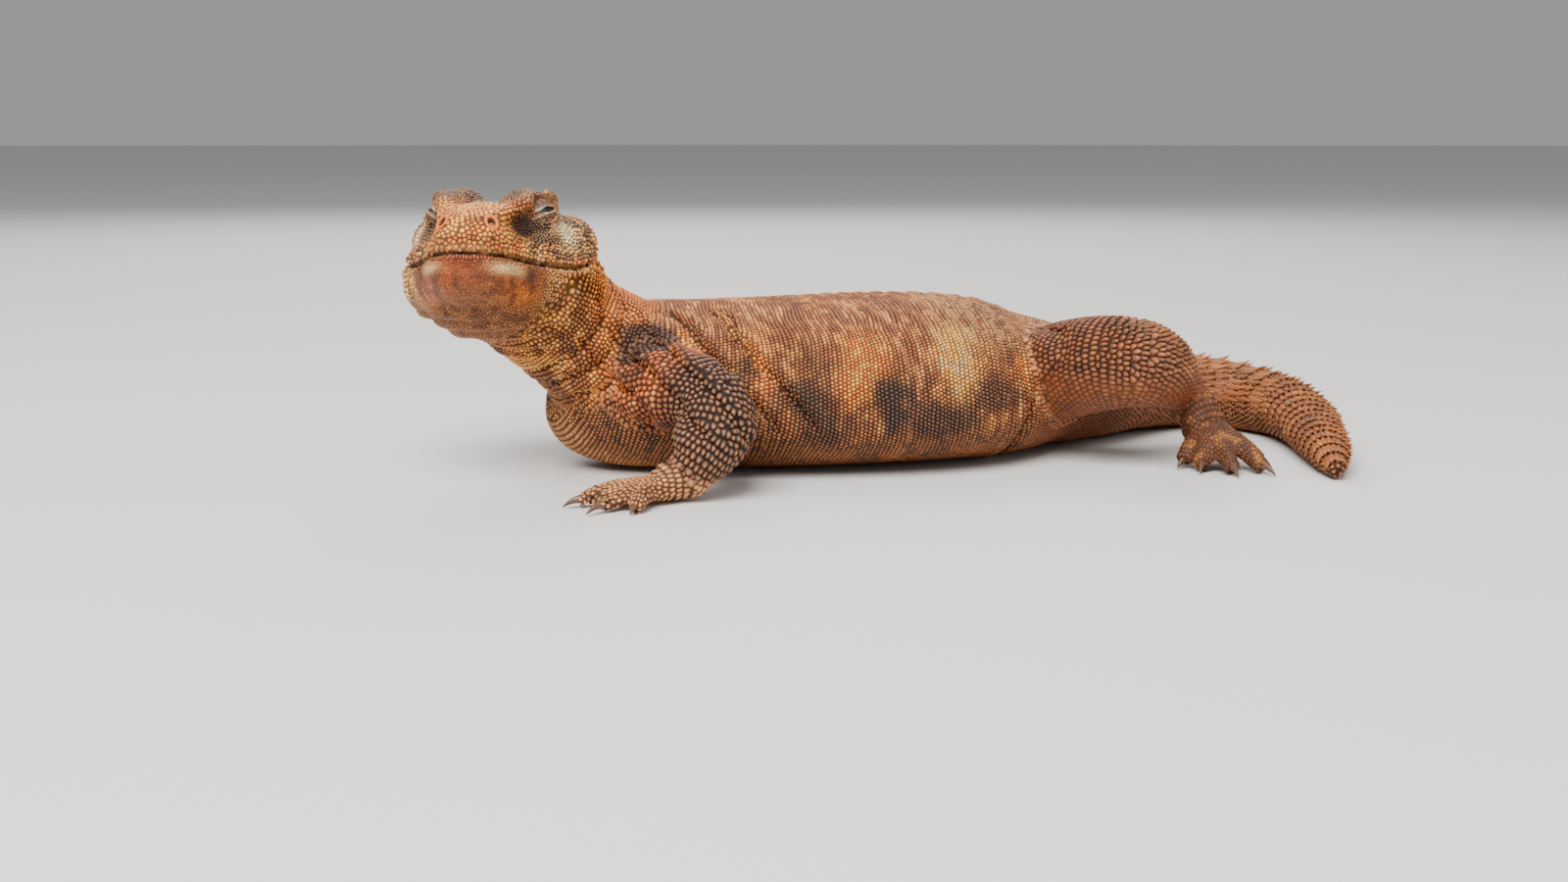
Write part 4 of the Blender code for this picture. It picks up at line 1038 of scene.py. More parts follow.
def head_points(surface, draw):
    """Scattered places on the head's skin, spaced by the size of the scales there and evened out by moving
    each one away from its neighbours."""
    corners, area = surface.triangles()
    area = area * (Place(corners.mean(axis=1)).region == NUMBER["head"])
    chosen = draw.choice(len(area), HEAD_CANDIDATES, p=area / area.sum())
    a, b = draw.random((2, HEAD_CANDIDATES, 1))
    flip = a + b > 1
    a, b = np.where(flip, 1 - a, a), np.where(flip, 1 - b, b)
    pick = corners[chosen]
    points = pick[:, 0] * (1 - a - b) + pick[:, 1] * a + pick[:, 2] * b
    points = np.vstack([lip_points(surface), points])
    sizes = head_sizes(points)
    stays = thinned(points, sizes, 0.80)
    return evened(surface, points[stays], sizes[stays], 3, head_sizes)


def evened(surface, points, sizes, rounds, size_at=None):
    """The points after rounds in which each moves away from neighbours nearer than 1.12 of its size."""
    for _ in range(rounds):
        tree = tree_of(points)
        near = np.array([[index for _, index, _ in tree.find_n(point, 7)] for point in points.tolist()])
        gap = points[:, None, :] - points[near]
        reach = np.linalg.norm(gap, axis=2, keepdims=True)
        push = gap / np.maximum(reach, 0.2) * np.clip(1.12 * sizes[:, None, None] - reach, 0, None)
        points = surface.nearest(points + 0.28 * push.sum(axis=1), 4.0)[0]
        sizes = size_at(points) if size_at else sizes
    return points


def lip_points(surface):
    """A row of scales above the lip and one below the mouth, found by rays from inside the head at even
    turns."""
    found = []
    line = np.array(MOUTH_LINE, float)
    for rise in (1.15, -0.95):
        turn = np.radians(np.linspace(-118, 118, 100))
        way = np.stack([np.cos(turn), np.sin(turn), 0 * turn], axis=1)
        start = np.tile((8.0, 0, 0), (len(turn), 1))
        forward = 8 + 16 * way[:, 0]
        for _ in range(3):
            start[:, 2] = np.interp(forward, line[:, 0], line[:, 1]) + rise
            hits = [surface.tree.ray_cast(Vector(a), Vector(b), 60.0)
                    for a, b in zip(from_head(start).tolist(), (way @ HEAD_FRAME.T).tolist())]
            hit = np.array([tuple(h[0]) if h[0] else (0, 0, 0) for h in hits])
            forward = to_head(hit)[:, 0]
        found.append(hit[(np.abs(hit).sum(axis=1) > 0) & (forward > -9)])
    return np.vstack(found)


def head_sizes(points):
    """Spacing of the head's scales: largest on the snout and the beads of the jowl, small round the eyes,
    on the chin and on the throat."""
    f, side, u = head_places(points)
    size = 0.92 + 0.10 * smooth_step(f, 6, 16)
    eye = np.linalg.norm(np.stack([f, side, u], axis=1) - EYE_SET, axis=1)
    size = size - 0.30 * (1 - smooth_step(eye, 7.8, 9.2))
    size = size - 0.30 * smooth_step(-mouth_height(f, u), 0.0, 2.0)
    size = size + 0.46 * bump(u + 5.5, 3.4) * bump(f - 1, 8) * smooth_step(side, 10, 12.5)
    return np.maximum(size, 0.64)


def seeds_on(surface, points, sizes, seed, reach):
    """Seeds at the skin's nearest places, with a little seeded scatter of their spacing."""
    draw = np.random.default_rng(seed)
    moved = points + draw.normal(0, 0.06, points.shape) * sizes[:, None]
    places, normals, kept = surface.nearest(moved, reach)
    return Seeds(places, normals, sizes[kept])


def all_seeds(surface):
    """The seeds of every region. Where two regions meet, the later one gives way."""
    draw = np.random.default_rng(11)
    head = head_points(surface, draw)
    groups = {"head": seeds_on(surface, head, head_sizes(head), 1, 4.0)}
    sources = {"trunk": [(TRUNK, UP, 0.93, *SPACING["trunk"])],
               "neck": [(NECK, NECK_UP, 1.0, *SPACING["neck"])],
               "tail": [(TAIL, UP, 1.0, *SPACING["tail"])], "legs": [], "feet": []}
    for limb, (rows, up, *_) in LIMBS.items():
        pitch = LEG_PITCH[limb.split("_")[0]]
        sources["legs"].append((rows, up, 1.0, pitch, pitch * 0.95, pitch))
        sources["feet"].append((palm_rows(limb), UP, 1.0, *SPACING["palm"]))
        sources["feet"] += [(digit_rows(*digit[:3]), UP, 1.0, *SPACING["digit"]) for digit in digits(limb)]
    for name, lofts in sources.items():
        found = [lattice(rows, up, boxy, along, around) for rows, up, boxy, along, around, _ in lofts]
        sizes = np.repeat([size for *_, size in lofts], [len(points) for points in found])
        groups[name] = seeds_on(surface, np.vstack(found), sizes, len(name), 1.5)
    order = ["head", "feet", "legs", "neck", "tail", "trunk"]
    points = np.vstack([groups[name].points for name in order])
    sizes = np.concatenate([groups[name].sizes for name in order])
    stays = thinned(points, sizes, 0.60) & off_openings(points)
    fresh, fresh_sizes = gap_points(surface, points[stays], draw)
    fresh_names = fresh_groups(fresh)
    start = 0
    for name in order:
        group = groups[name]
        keep = stays[start:start + len(group.points)]
        start += len(group.points)
        together = np.vstack([group.points[keep], fresh[fresh_names == name]])
        sizes = np.concatenate([group.sizes[keep], fresh_sizes[fresh_names == name]])
        if name not in ("head", "trunk"):
            together = evened(surface, together, sizes, 1 if name == "feet" else 3)
        places, normals, _ = surface.nearest(together, 1.0)
        groups[name] = Seeds(places, normals, sizes)
    return groups


def fresh_groups(points):
    """The group of scales that each point belongs to, by its region."""
    groups = np.array(["feet" if name.count("_") > 1 else "legs" if "leg" in name else name
                       for name in REGIONS])
    return groups[Place(points).region]


def gap_points(surface, taken, draw):
    """Places in what the lattices leave bare, spread over the skin by area and kept where no scale is
    near."""
    corners, area = surface.triangles()
    middle = corners[draw.choice(len(area), GAP_CANDIDATES, p=area / area.sum())].mean(axis=1)
    groups = fresh_groups(middle)
    sizes = np.select([groups == "head", groups == "trunk", groups == "neck", groups == "legs"],
                      [head_sizes(middle), 0.95, 1.08, 1.36], 1.22)
    tree = tree_of(taken)
    gaps = np.array([tree.find(point)[2] for point in middle.tolist()])
    bare = (gaps > 0.82 * sizes) & off_openings(middle)
    middle, sizes = middle[bare], sizes[bare]
    stays = thinned(middle, sizes, 0.82)
    return middle[stays], sizes[stays]


def off_openings(points):
    """Which places lie clear of the mouth groove, the nostrils, the ear slits and the lids."""
    local = to_head(points)
    f, l, u = local.T
    side = np.abs(l)
    above = mouth_height(f, u)
    rim = 0.30 + 0.35 * smooth_step(f, -2, 4)
    mouth = (above > -0.5) & (above < rim) & (f > -10.5) & (mouth_side(f, side) > 11) & (f < 30)
    ear = (side > 13) & (np.abs(f - EAR_PLACE[0]) < 1.2) & (np.abs(u - EAR_PLACE[2]) < 4.2) & (side < 26)
    closed = mouth | (nostril_gap(f, side, u) < 2.05) | ear
    for eye_side in (-1, 1):
        longitude, latitude, distance = eye_angles(local, eye_side)
        closed |= (lid_ring(longitude, latitude) < 0.98) & (distance < 7.5)
    return ~closed


def neighbour_reach(seeds, count, most):
    """Half way to the nearest neighbour in each of count directions: the least |d|^2 / (2 d.u) over
    neighbours d with d.u above zero, which is the distance to the edge of the seed's own cell, up to most
    of the seed's size."""
    points, lie, across, sizes = seeds.points, seeds.lie, seeds.across, seeds.sizes
    tree = tree_of(points)
    near = np.array([[index for _, index, _ in tree.find_n(point, 10)][1:] for point in points.tolist()])
    gap = points[near] - points[:, None, :]
    ahead, aside = (gap * lie[:, None, :]).sum(axis=2), (gap * across[:, None, :]).sum(axis=2)
    length = (np.stack([ahead, aside], axis=2) ** 2).sum(axis=2)
    turn = 2 * math.pi * (np.arange(count) + 0.5) / count
    reach = np.empty((len(points), count))
    for number, angle in enumerate(turn):
        dot = ahead * math.cos(angle) + aside * math.sin(angle)
        cell = np.where(dot > 1e-3, length / np.maximum(2 * dot, 1e-3), FAR).min(axis=1)
        reach[:, number] = np.clip(cell, 0.3 * sizes, most * sizes)
    return reach, turn


def scale_mesh(name, seeds, colours, profile, sides, height, tilt=0.0, spike=0.0, keel=0.0, overlap=0.0,
               depth=1.0, most=0.66, narrow=1.0, glint=0.0):
    """Scales as joined domes over their own cells, in the profile's rings: point = seed + share *
    reach(angle) * direction + height * normal, raised towards the rear by tilt, with the top carried back and
    up by spike and a ridge along the lie by keel. Overlap lengthens the rear of each scale and narrow
    shortens it along the lie. The rims are painted darker and redder as shade in the gaps between scales and
    the tips painted lighter as a highlight, by depth, and glint is how pale the tips are: a painted highlight
    that on some scales also gives pale centres."""
    count = len(seeds.points)
    reach, turn = neighbour_reach(seeds, sides, most)
    height, tilt, spike, keel = (np.broadcast_to(np.asarray(value, float), (count,))[:, None]
                                 for value in (height, tilt, spike, keel))
    cos, sin = np.cos(turn)[None, :], np.sin(turn)[None, :]
    points, normals = seeds.points[:, None, :], seeds.normals[:, None, :]
    lie, across = seeds.lie[:, None, :], seeds.across[:, None, :]
    size = seeds.sizes[:, None]
    rings, shades, patches = [], [], []
    for share, rise, shade in profile:
        along = narrow * share * reach * cos * (1 + overlap * (cos > 0) * (rise > 0))
        side = share * reach * sin
        lift = height * size * rise + tilt * along * (rise > 0)
        lift = lift + keel * size * np.exp(-(side / (0.22 * size)) ** 2) * max(rise, 0)
        back = spike * size * max(rise, 0) ** 2 * 0.9
        up = spike * size * max(rise, 0) ** 3 * 0.8
        rings.append(points + lie * (along + back)[:, :, None] + across * side[:, :, None]
                     + normals * (lift + up)[:, :, None])
        shades.append(np.repeat(shade, sides))
        patches.append(PATCH * share * np.stack([np.cos(turn), np.sin(turn)], axis=1))
    top = (height + keel + 0.8 * spike) * size
    apex = (points + lie * (0.12 * tilt * size + 1.15 * spike * size)[:, :, None]
            + normals * top[:, :, None])
    points = np.concatenate(rings + [apex], axis=1)
    points[:, :, 2] = np.maximum(points[:, :, 2], SCALE_LOWEST)
    patches = np.vstack(patches + [[(0, 0)]])
    quads = np.roll(ring_quads(len(profile), sides)[:, ::-1], 1, axis=1)
    uv = (unwrap(seeds.place)[:, None, :] + patches[None, :, :]).reshape(-1, 2)
    obj = copies(name, points, quads, tip_fan(len(profile), sides), uv)
    # painted shade at the rims, warmer and redder, and a painted highlight at the tip
    shades = np.concatenate(shades + [[TIP_HIGHLIGHT]])[None, :, None] ** np.array((0.9, 1.2, 1.5))
    depth, glint = (np.broadcast_to(value, (count,))[:, None, None] for value in (depth, glint))
    vertex_colours = colours[:, None, :] * (1 + (shades - 1) * depth)
    # glint: a painted highlight mixed towards PALE at the tip and the ring under it
    pale = np.repeat((0.0,) * (len(profile) - 1) + (0.2, 1.0), [sides] * len(profile) + [1])
    pale = pale[None, :, None] * glint
    vertex_colours = vertex_colours * (1 - pale) + pale * np.array(PALE)
    set_colour(obj.data, "markings", vertex_colours.reshape(-1, 3))
    return obj


def tip_fan(rings, sides):
    """Triangles from the last ring to the one point after it."""
    j = np.arange(sides)
    last = (rings - 1) * sides
    return np.stack([last + j, last + (j + 1) % sides, np.full(sides, rings * sides)], axis=1)


def copies(name, points, quads, triangles, uv):
    """One mesh of many shapes with the same faces: points has a row of vertices for each."""
    offset = (np.arange(len(points)) * points.shape[1])[:, None, None]
    faces = [(corners + offset).reshape(-1, corners.shape[1]) for corners in (quads, triangles)]
    return new_mesh(name, points.reshape(-1, 3), faces, uv)


def unwrap(place):
    """The skin unrolled: each region in a piece has its own strip, its length across and its turn upwards."""
    present = sorted(set(place.region.tolist()))
    strip = np.searchsorted(present, place.region)
    tall = 1.0 / len(present)
    turn = (place.angle / (2 * math.pi)) % 1.0
    return np.stack([0.004 + 0.992 * place.t, tall * (strip + 0.02 + 0.96 * turn)], axis=1)


def spread(colours, draw, amount):
    """The colours with a seeded change of brightness and warmth for each scale."""
    light = draw.normal(1.0, amount, (len(colours), 1))
    warm = draw.normal(0.0, 0.35 * amount, (len(colours), 1)) * np.array((1.0, 0.0, -1.0))
    return np.clip(colours * (light + warm), 0, 1)


# Spines, claws, lids and eyes

def spikes(name, roots, normals, lie, lengths, widths, rise, colours, tips, uv=None, sides=6, rings=5,
           flat=0.8):
    """Curved tapering spines: centre line = root + lie * length * s + normal * length * rise * s^2, with an
    elliptic section of width * (1 - s)^0.75 that is flattened across the normal."""
    s = np.linspace(0, 1, rings + 1)[:-1]
    turn = np.linspace(0, 2 * math.pi, sides, endpoint=False)
    across = np.cross(normals, lie)
    s_all = np.append(s, 1.0)
    lengths, widths, rise = (np.asarray(value, float) for value in (lengths, widths, rise))
    centre = (roots[:, None, :] + lie[:, None, :] * (lengths[:, None] * s_all)[:, :, None]
              + normals[:, None, :] * (lengths[:, None] * rise[:, None] * s_all ** 2)[:, :, None])
    tangent = unit(np.gradient(centre, axis=1))
    over = unit(np.cross(tangent, across[:, None, :]))
    half = widths[:, None] * (1 - s) ** 0.75
    ring = (centre[:, :-1, None, :] + across[:, None, None, :] * (half[:, :, None] * np.cos(turn))[..., None]
            + over[:, :-1, None, :] * (flat * half[:, :, None] * np.sin(turn))[..., None])
    points = np.concatenate([ring.reshape(len(roots), -1, 3), centre[:, -1:, :]], axis=1)
    points[:, :, 2] = np.maximum(points[:, :, 2], SPINE_LOWEST)
    if uv is not None:
        circle = np.tile(np.stack([np.cos(turn), np.sin(turn)], axis=1), (rings, 1))
        patch = np.vstack([np.repeat(1 - s, sides)[:, None] * circle, [(0, 0)]]) * PATCH
        uv = (uv[:, None, :] + patch[None]).reshape(-1, 2)
    triangles = tip_fan(rings, sides)[:, (1, 0, 2)]
    obj = copies(name, points, ring_quads(rings, sides), triangles, uv)
    mix = np.append(np.repeat(s, sides), 1.0)[None, :, None] ** 1.2
    shade = colours[:, None, :] * (1 - mix) + tips[:, None, :] * mix
    set_colour(obj.data, "markings", shade.reshape(-1, 3))
    return obj


def whorl_spines(surface, whorls, around, length, draw):
    """Spines of the tail in rings that crowd towards its tip: evenly turned over the top and sides, each
    leaning back and up, and smaller towards the belly."""
    steps = np.linspace(1.25, 0.72, whorls)
    stations = np.cumsum(steps) / steps.sum() * 0.965
    rows = smooth_rows(TAIL, 400)
    tangents, sides, uprights = path_frames(rows[:, :3], UP)
    roots, lie, sizes = [], [], []
    for number, station in enumerate(stations):
        index = int(station * 399)
        count = max(9, int(round(around - 7 * station)))
        turn = np.radians(-32 + 244 * (np.arange(count) + 0.5 * (number % 2)) / count)
        row = rows[index]
        reach = np.where(np.sin(turn) > 0, row[4], row[5]) * np.sin(turn)
        roots.append(row[:3] + sides[index] * (row[3] * np.cos(turn))[:, None]
                     + uprights[index] * reach[:, None])
        lie.append(np.tile(tangents[index], (count, 1)))
        above = smooth_step(np.sin(turn), -0.6, 0.35)
        sizes.append((0.5 + 0.5 * above) * (0.55 + 0.45 * row[3] / rows[0, 3])
                     * draw.uniform(0.85, 1.12, count))
    roots, lie, sizes = np.vstack(roots), np.vstack(lie), np.concatenate(sizes)
    places, normals, kept = surface.nearest(roots, 3.0)
    lie, sizes = lie[kept], sizes[kept]
    lie = unit(lie - normals * (lie * normals).sum(axis=1, keepdims=True))
    return places - normals * 0.3, normals, lie, sizes * length


# The nostril's cup: radius and height of its rings, and points round each
NOSTRIL_PROFILE = ((2.35, -0.45), (2.1, 0.10), (1.75, 0.48), (1.38, 0.52), (1.05, 0.20), (0.92, -0.5),
                   (0.7, -1.3), (0.3, -1.7))
NOSTRIL_SIDES = 40


def nostril_cups(surface):
    """The raised rims of the two nostrils with the cups inside painted dark as shade: a profile of radius and
    height turned round the skin's normal, 1.3 times longer upwards than across, waved a little round its rim."""
    shapes, shades = [], []
    for side in (1, -1):
        target = from_head(np.array([(NOSTRIL_PLACE[0] + 2, side * NOSTRIL_PLACE[1], NOSTRIL_PLACE[2])]))
        near = np.nonzero(np.linalg.norm(surface.points - target, axis=1) < 4.6)[0]
        normal = unit(surface.vertex_normals[near].sum(axis=0))
        local = to_head(surface.points[near])
        gap = nostril_gap(local[:, 0], np.abs(local[:, 1]), local[:, 2])
        rim = near[(gap > 1.9) & (gap < 2.9) & (local[:, 1] * side > 0)]
        centre = surface.points[rim].mean(axis=0)
        upward = unit(HEAD_FRAME[:, 2] - normal * (HEAD_FRAME[:, 2] @ normal))
        across = np.cross(upward, normal)
        rows = smooth_rows([(radius, height, 0) for radius, height in NOSTRIL_PROFILE], 36)
        turn = np.linspace(0, 2 * math.pi, NOSTRIL_SIDES, endpoint=False)[None, :]
        wave = 1 + 0.035 * np.sin(9 * turn)
        grid = (centre + across * (0.82 * rows[:, :1] * wave * np.cos(turn))[..., None]
                + upward * (1.05 * rows[:, :1] * wave * np.sin(turn))[..., None]
                + normal * (rows[:, 1:2] + 0 * turn)[..., None])
        shapes.append(grid_shape(grid))
        depth = np.append(np.repeat(rows[:, 1], NOSTRIL_SIDES), (rows[0, 1], rows[-1, 1]))
        cup = np.append(np.repeat(rows[:, 0] < 1.3, NOSTRIL_SIDES), (False, True))
        # amber on the raised rim and painted shade in the deep cup
        shades.append(painted(flat((0.42, 0.12, 0.03), len(depth)), (AMBER, smooth_step(depth, 0.25, 0.5)),
                              ((0.05, 0.006, 0.002), smooth_step(-depth, -0.25, 0.5) * cup)))
    points, quads, triangles = joined(shapes)
    obj = new_mesh("nostrils", points, [quads, triangles])
    set_colour(obj.data, "markings", np.vstack(shades))
    return obj


def claw_spikes(name, colour, tip_colour):
    """Twenty hooked claws, each sunk into the tip of its digit and curving down to the floor."""
    roots, normals, lie, lengths, widths = [], [], [], [], []
    for limb in LIMBS:
        for root, tip, thick, length in digits(limb):
            level = unit((tip - root) * (1, 1, 0))
            roots.append(tip - level * 1.2 + np.array((0, 0, 0.22 * thick)))
            lie.append(unit(level + np.array((0, 0, 0.16))))
            normals.append(unit(np.array((0, 0, 1)) - level * 0.16))
            lengths.append(length + 1.0)
            widths.append(0.40 * thick)
    roots, normals, lie, lengths, widths = (np.array(value)
                                            for value in (roots, normals, lie, lengths, widths))
    rise = -(roots[:, 2] - 0.3 + 0.16 * lengths) / lengths
    return spikes(name, roots, normals, lie, lengths, widths, rise, flat(colour, len(roots)),
                  flat(tip_colour, len(roots)), sides=16, rings=12, flat=1.15)


def eye_ball(name, side, iris, pupil):
    """Ball round the eye's centre, its pole on the eye's axis: out cos a + (along cos b + across sin b) sin
    a. A dark pupil lies inside an iris that darkens to its rim, in a dark ball."""
    centre, out, along, across = eye_frame(side)
    a = np.linspace(0.03, math.pi - 0.03, 48)[:, None]
    b = np.linspace(0, 2 * math.pi, 64, endpoint=False)[None, :] * side
    ball = (out * np.cos(a + 0 * b)[..., None] + along * (np.sin(a) * np.cos(b))[..., None]
            + across * (np.sin(a) * np.sin(b))[..., None])
    points, quads, triangles = grid_shape(from_head(centre + EYE_RADIUS * ball)[::-1])
    obj = new_mesh(name, points, [quads, triangles])
    gap = unit(to_head(points) - centre)
    angle = np.degrees(np.arccos(np.clip(gap @ out, -1, 1)))
    around = np.arctan2(gap @ across, gap @ along)
    rays = 0.75 + 0.35 * np.sin(23 * around + 3 * np.sin(7 * around))
    inside = 1 - smooth_step(angle, 33, 37)
    set_colour(obj.data, "markings", painted(
        flat((0.012, 0.008, 0.006), len(points)), (iris, inside * rays * (0.35 + 0.65 * bump(angle - 16, 7))),
        (pupil, 1 - smooth_step(angle, 11.5, 13.5))))
    return obj


# The upper lid and the lower one: degrees from the edge and distance from the eye's centre, the shell's grid,
# and the side of each lid with whether it is the upper one
LID_PROFILES = {
    True: ((12, 4.86), (4, 4.86), (0.6, 4.90), (0, 5.08), (1.0, 5.32), (3.0, 5.50), (6, 5.56), (9, 5.48),
           (13, 5.4), (18, 5.1), (25, 4.6)),
    False: ((12, 4.86), (4, 4.86), (0.6, 4.90), (0, 5.10), (1.4, 5.34), (3.4, 5.40), (5.5, 5.22), (9, 5.30),
            (15, 5.46), (21, 5.40), (26, 5.14), (29, 5.04), (32, 5.24), (35, 5.36), (40, 5.2), (48, 4.6)),
}
LID_ROWS = 40
LID_COLUMNS = 60
LIDS = ((1, True), (1, False), (-1, True), (-1, False))


def lid_edge(longitude, upper, opening):
    """Latitude of a lid's edge: the opening, shared 45 to 55 between the upper and the lower lid, times
    cos^1.2 of a turn that reaches a right angle 31 degrees to either side of the middle, which lies 4
    degrees back."""
    share = 0.45 if upper else 0.55
    shut = np.clip(np.cos(np.radians(np.clip((longitude + 4) * 90 / 31, -90, 90))), 0, 1) ** 1.2
    return share * opening * shut


def lid_fade(longitude):
    """Share of a lid's distance from the eye's centre that stays towards its corners."""
    return 1 - 0.12 * smooth_step(np.abs(longitude), 50, 84)


def lid_points(side, upper, longitude, offset, radius, opening):
    """Points of a lid on spheres round the eye: longitude along the slit, and latitude counted from the
    edge."""
    centre, out, along, across = eye_frame(side)
    latitude = np.radians(lid_edge(longitude, upper, opening) + offset) * (1 if upper else -1)
    turn = np.radians(longitude)
    way = (out * (np.cos(latitude) * np.cos(turn))[..., None]
           + along * (np.cos(latitude) * np.sin(turn))[..., None]
           + across * np.sin(latitude)[..., None])
    return from_head(centre + way * radius[..., None]), unit(way @ HEAD_FRAME.T)


def lid_shell(side, upper, opening):
    """One lid: a shell that leaves the eyeball at its rolled edge, swells and sinks under the skin round
    it."""
    profile = np.array(LID_PROFILES[upper], float)
    rows = smooth_rows(np.column_stack([profile, 0 * profile[:, 0]]), LID_ROWS)
    longitude = np.linspace(-84, 84, LID_COLUMNS)[None, :] + 0 * rows[:, :1]
    wrinkle = 0.05 * np.sin(np.radians(longitude * 21)) * smooth_step(rows[:, :1], 2, 8)
    radius = (rows[:, 1:2] + wrinkle) * lid_fade(longitude)
    points, _ = lid_points(side, upper, longitude, rows[:, :1] + 0 * longitude, radius, opening)
    i, j = np.meshgrid(np.arange(LID_ROWS - 1), np.arange(LID_COLUMNS - 1), indexing="ij")
    corner = (i * LID_COLUMNS + j).reshape(-1, 1)
    quads = corner + np.array((0, 1, LID_COLUMNS + 1, LID_COLUMNS))
    if (side > 0) == upper:
        quads = quads[:, ::-1]
    return points.reshape(-1, 3), quads, np.zeros((0, 3), int)


def lid_seeds(side, upper, opening):
    """Places of the lid's own small scales, in staggered rows along its edge."""
    places, normals = [], []
    profile = np.array(LID_PROFILES[upper], float)[3:]
    for number, offset in enumerate(np.arange(4.5 if upper else 8.0, 18 if upper else 42, 3.7)):
        longitude = np.arange(-40 + 2.1 * (number % 2), 41, 4.2)
        radius = np.full(len(longitude), np.interp(offset, profile[:, 0], profile[:, 1]) - 0.04)
        points, ways = lid_points(side, upper, longitude, np.full(len(longitude), offset),
                                  radius * lid_fade(longitude), opening)
        places.append(points)
        normals.append(ways)
    places, normals = np.vstack(places), np.vstack(normals)
    return Seeds(places, normals, np.full(len(places), 0.39))


def lid_colours(points):
    """Brown lids, redder above the slit, with a pale band beside the slit on the lower lid, a painted
    highlight along the upper lid's edge, a pale band along the outer fold of the lower lid, and painted shade
    in the crease inside that fold."""
    local = to_head(points)
    colour = flat((0.24, 0.135, 0.090), len(points))
    for side in (1, -1):
        _, latitude, _ = eye_angles(local, side)
        here = (local[:, 1] * side > 0).astype(float)
        colour = painted(
            colour, ((0.20, 0.095, 0.048), here * smooth_step(latitude, 1, 9) * 0.9),
            ((0.86, 0.72, 0.56), here * bump(latitude + 7.5, 3.2) * 0.9),
            ((0.80, 0.64, 0.48), here * bump(latitude + 42, 3.0) * 0.7),
            # painted highlight along the rolled edge of the upper lid
            ((0.80, 0.62, 0.40), here * bump(latitude - 8.4, 1.8) * 0.8),
            # painted shade in the crease inside the lower lid's fold
            (DARK, here * bump(latitude + 37, 2.6) * 0.85))
    return colour * (0.8 + 0.4 * noise(points, 0.6, 15))[:, None]


# Materials

class Socket:
    """A shader socket. Arithmetic on it adds Math nodes to its tree."""

    def __init__(self, tree, socket):
        self.tree, self.socket = tree, socket

    def math(self, operation, *values):
        return self.tree.add("ShaderNodeMath", {"operation": operation}, dict(enumerate(values)))

    def __add__(self, other):
        return self.math("ADD", self, other)

    def __sub__(self, other):
        return self.math("SUBTRACT", self, other)

    def __mul__(self, other):
        return self.math("MULTIPLY", self, other)


class Tree:
    """The node tree of a new material."""

    def __init__(self, name):
        self.material = bpy.data.materials.new(name)
        self.material.use_nodes = True
        self.nodes = self.material.node_tree.nodes
        self.nodes.clear()

    def add(self, kind, settings=None, inputs=None, output=0):
        """A node of this type: its settings first, then its sockets."""
        node = self.nodes.new(kind)
        for name, value in (settings or {}).items():
            setattr(node, name, value)
        for key, value in (inputs or {}).items():
            if isinstance(value, Socket):
                self.material.node_tree.links.new(value.socket, node.inputs[key])
            else:
                node.inputs[key].default_value = value
        return Socket(self, node.outputs[output]) if node.outputs else None

    def mix(self, factor, first, second, blend_type="MIX"):
        return self.add("ShaderNodeMix", {"data_type": "RGBA", "blend_type": blend_type},
                        {0: factor, 6: first, 7: second}, output=2)

    def tinted(self, factor, first, second):
        """The markings times a mix of two tints."""
        markings = self.add("ShaderNodeVertexColor", {"layer_name": "markings"})
        return self.mix(1.0, markings, self.mix(factor, first, second), "MULTIPLY")

    def grain(self, scale, detail=3.0, roughness=0.55):
        """Noise over the object's own coordinates."""
        place = self.add("ShaderNodeTexCoord", output=3)
        return self.add("ShaderNodeTexNoise", {}, {"Vector": place, "Scale": scale, "Detail": detail,
                                                   "Roughness": roughness})

    def finish(self, **inputs):
        """A Principled shader with these sockets, given by name with underscores for spaces, as the
        surface."""
        named = {name.replace("_", " "): value for name, value in inputs.items()}
        shader = self.add("ShaderNodeBsdfPrincipled", {}, named)
        self.add("ShaderNodeOutputMaterial", {}, {"Surface": shader})
        return self.material

    def bump(self, height, strength, distance):
        return self.add("ShaderNodeBump", {}, {"Height": height, "Strength": strength, "Distance": distance})


def horn_scales(name, shine):
    """Keratin of the scales: the animal's markings with a fine mottle, small pits and ridges, a dry sheen."""
    tree = Tree(name)
    mottle, pits = tree.grain(2600.0), tree.grain(9000.0, 2.0)
    colour = tree.tinted(mottle * 1.3 - 0.25, (0.66, 0.55, 0.44, 1), (1.48, 1.28, 1.02, 1))
    return tree.finish(Base_Color=colour, Roughness=pits * 0.25 + (0.62 - shine), Specular_IOR_Level=0.45,
                       Normal=tree.bump(mottle + pits * 0.6, 0.35, 0.00012))


def soft_skin(name):
    """Bare skin between the scales: dull and finely wrinkled."""
    tree = Tree(name)
    fine, coarse = tree.grain(5200.0), tree.grain(1500.0)
    colour = tree.tinted(coarse, (0.66, 0.62, 0.60, 1), (1.30, 1.25, 1.22, 1))
    return tree.finish(Base_Color=colour, Roughness=fine * 0.2 + 0.6, Specular_IOR_Level=0.3,
                       Normal=tree.bump(fine + coarse, 0.5, 0.0002))


def horn_claws():
    """Translucent brown horn with a fine mottle."""
    tree = Tree("claw horn")
    mottle = tree.grain(1800.0, 4.0)
    colour = tree.tinted(mottle, (0.6, 0.55, 0.5, 1), (1.35, 1.3, 1.25, 1))
    return tree.finish(Base_Color=colour, Roughness=mottle * 0.2 + 0.22, Specular_IOR_Level=0.5,
                       Subsurface_Weight=0.15, Subsurface_Scale=0.0008, Normal=tree.bump(mottle, 0.2, 0.0001))


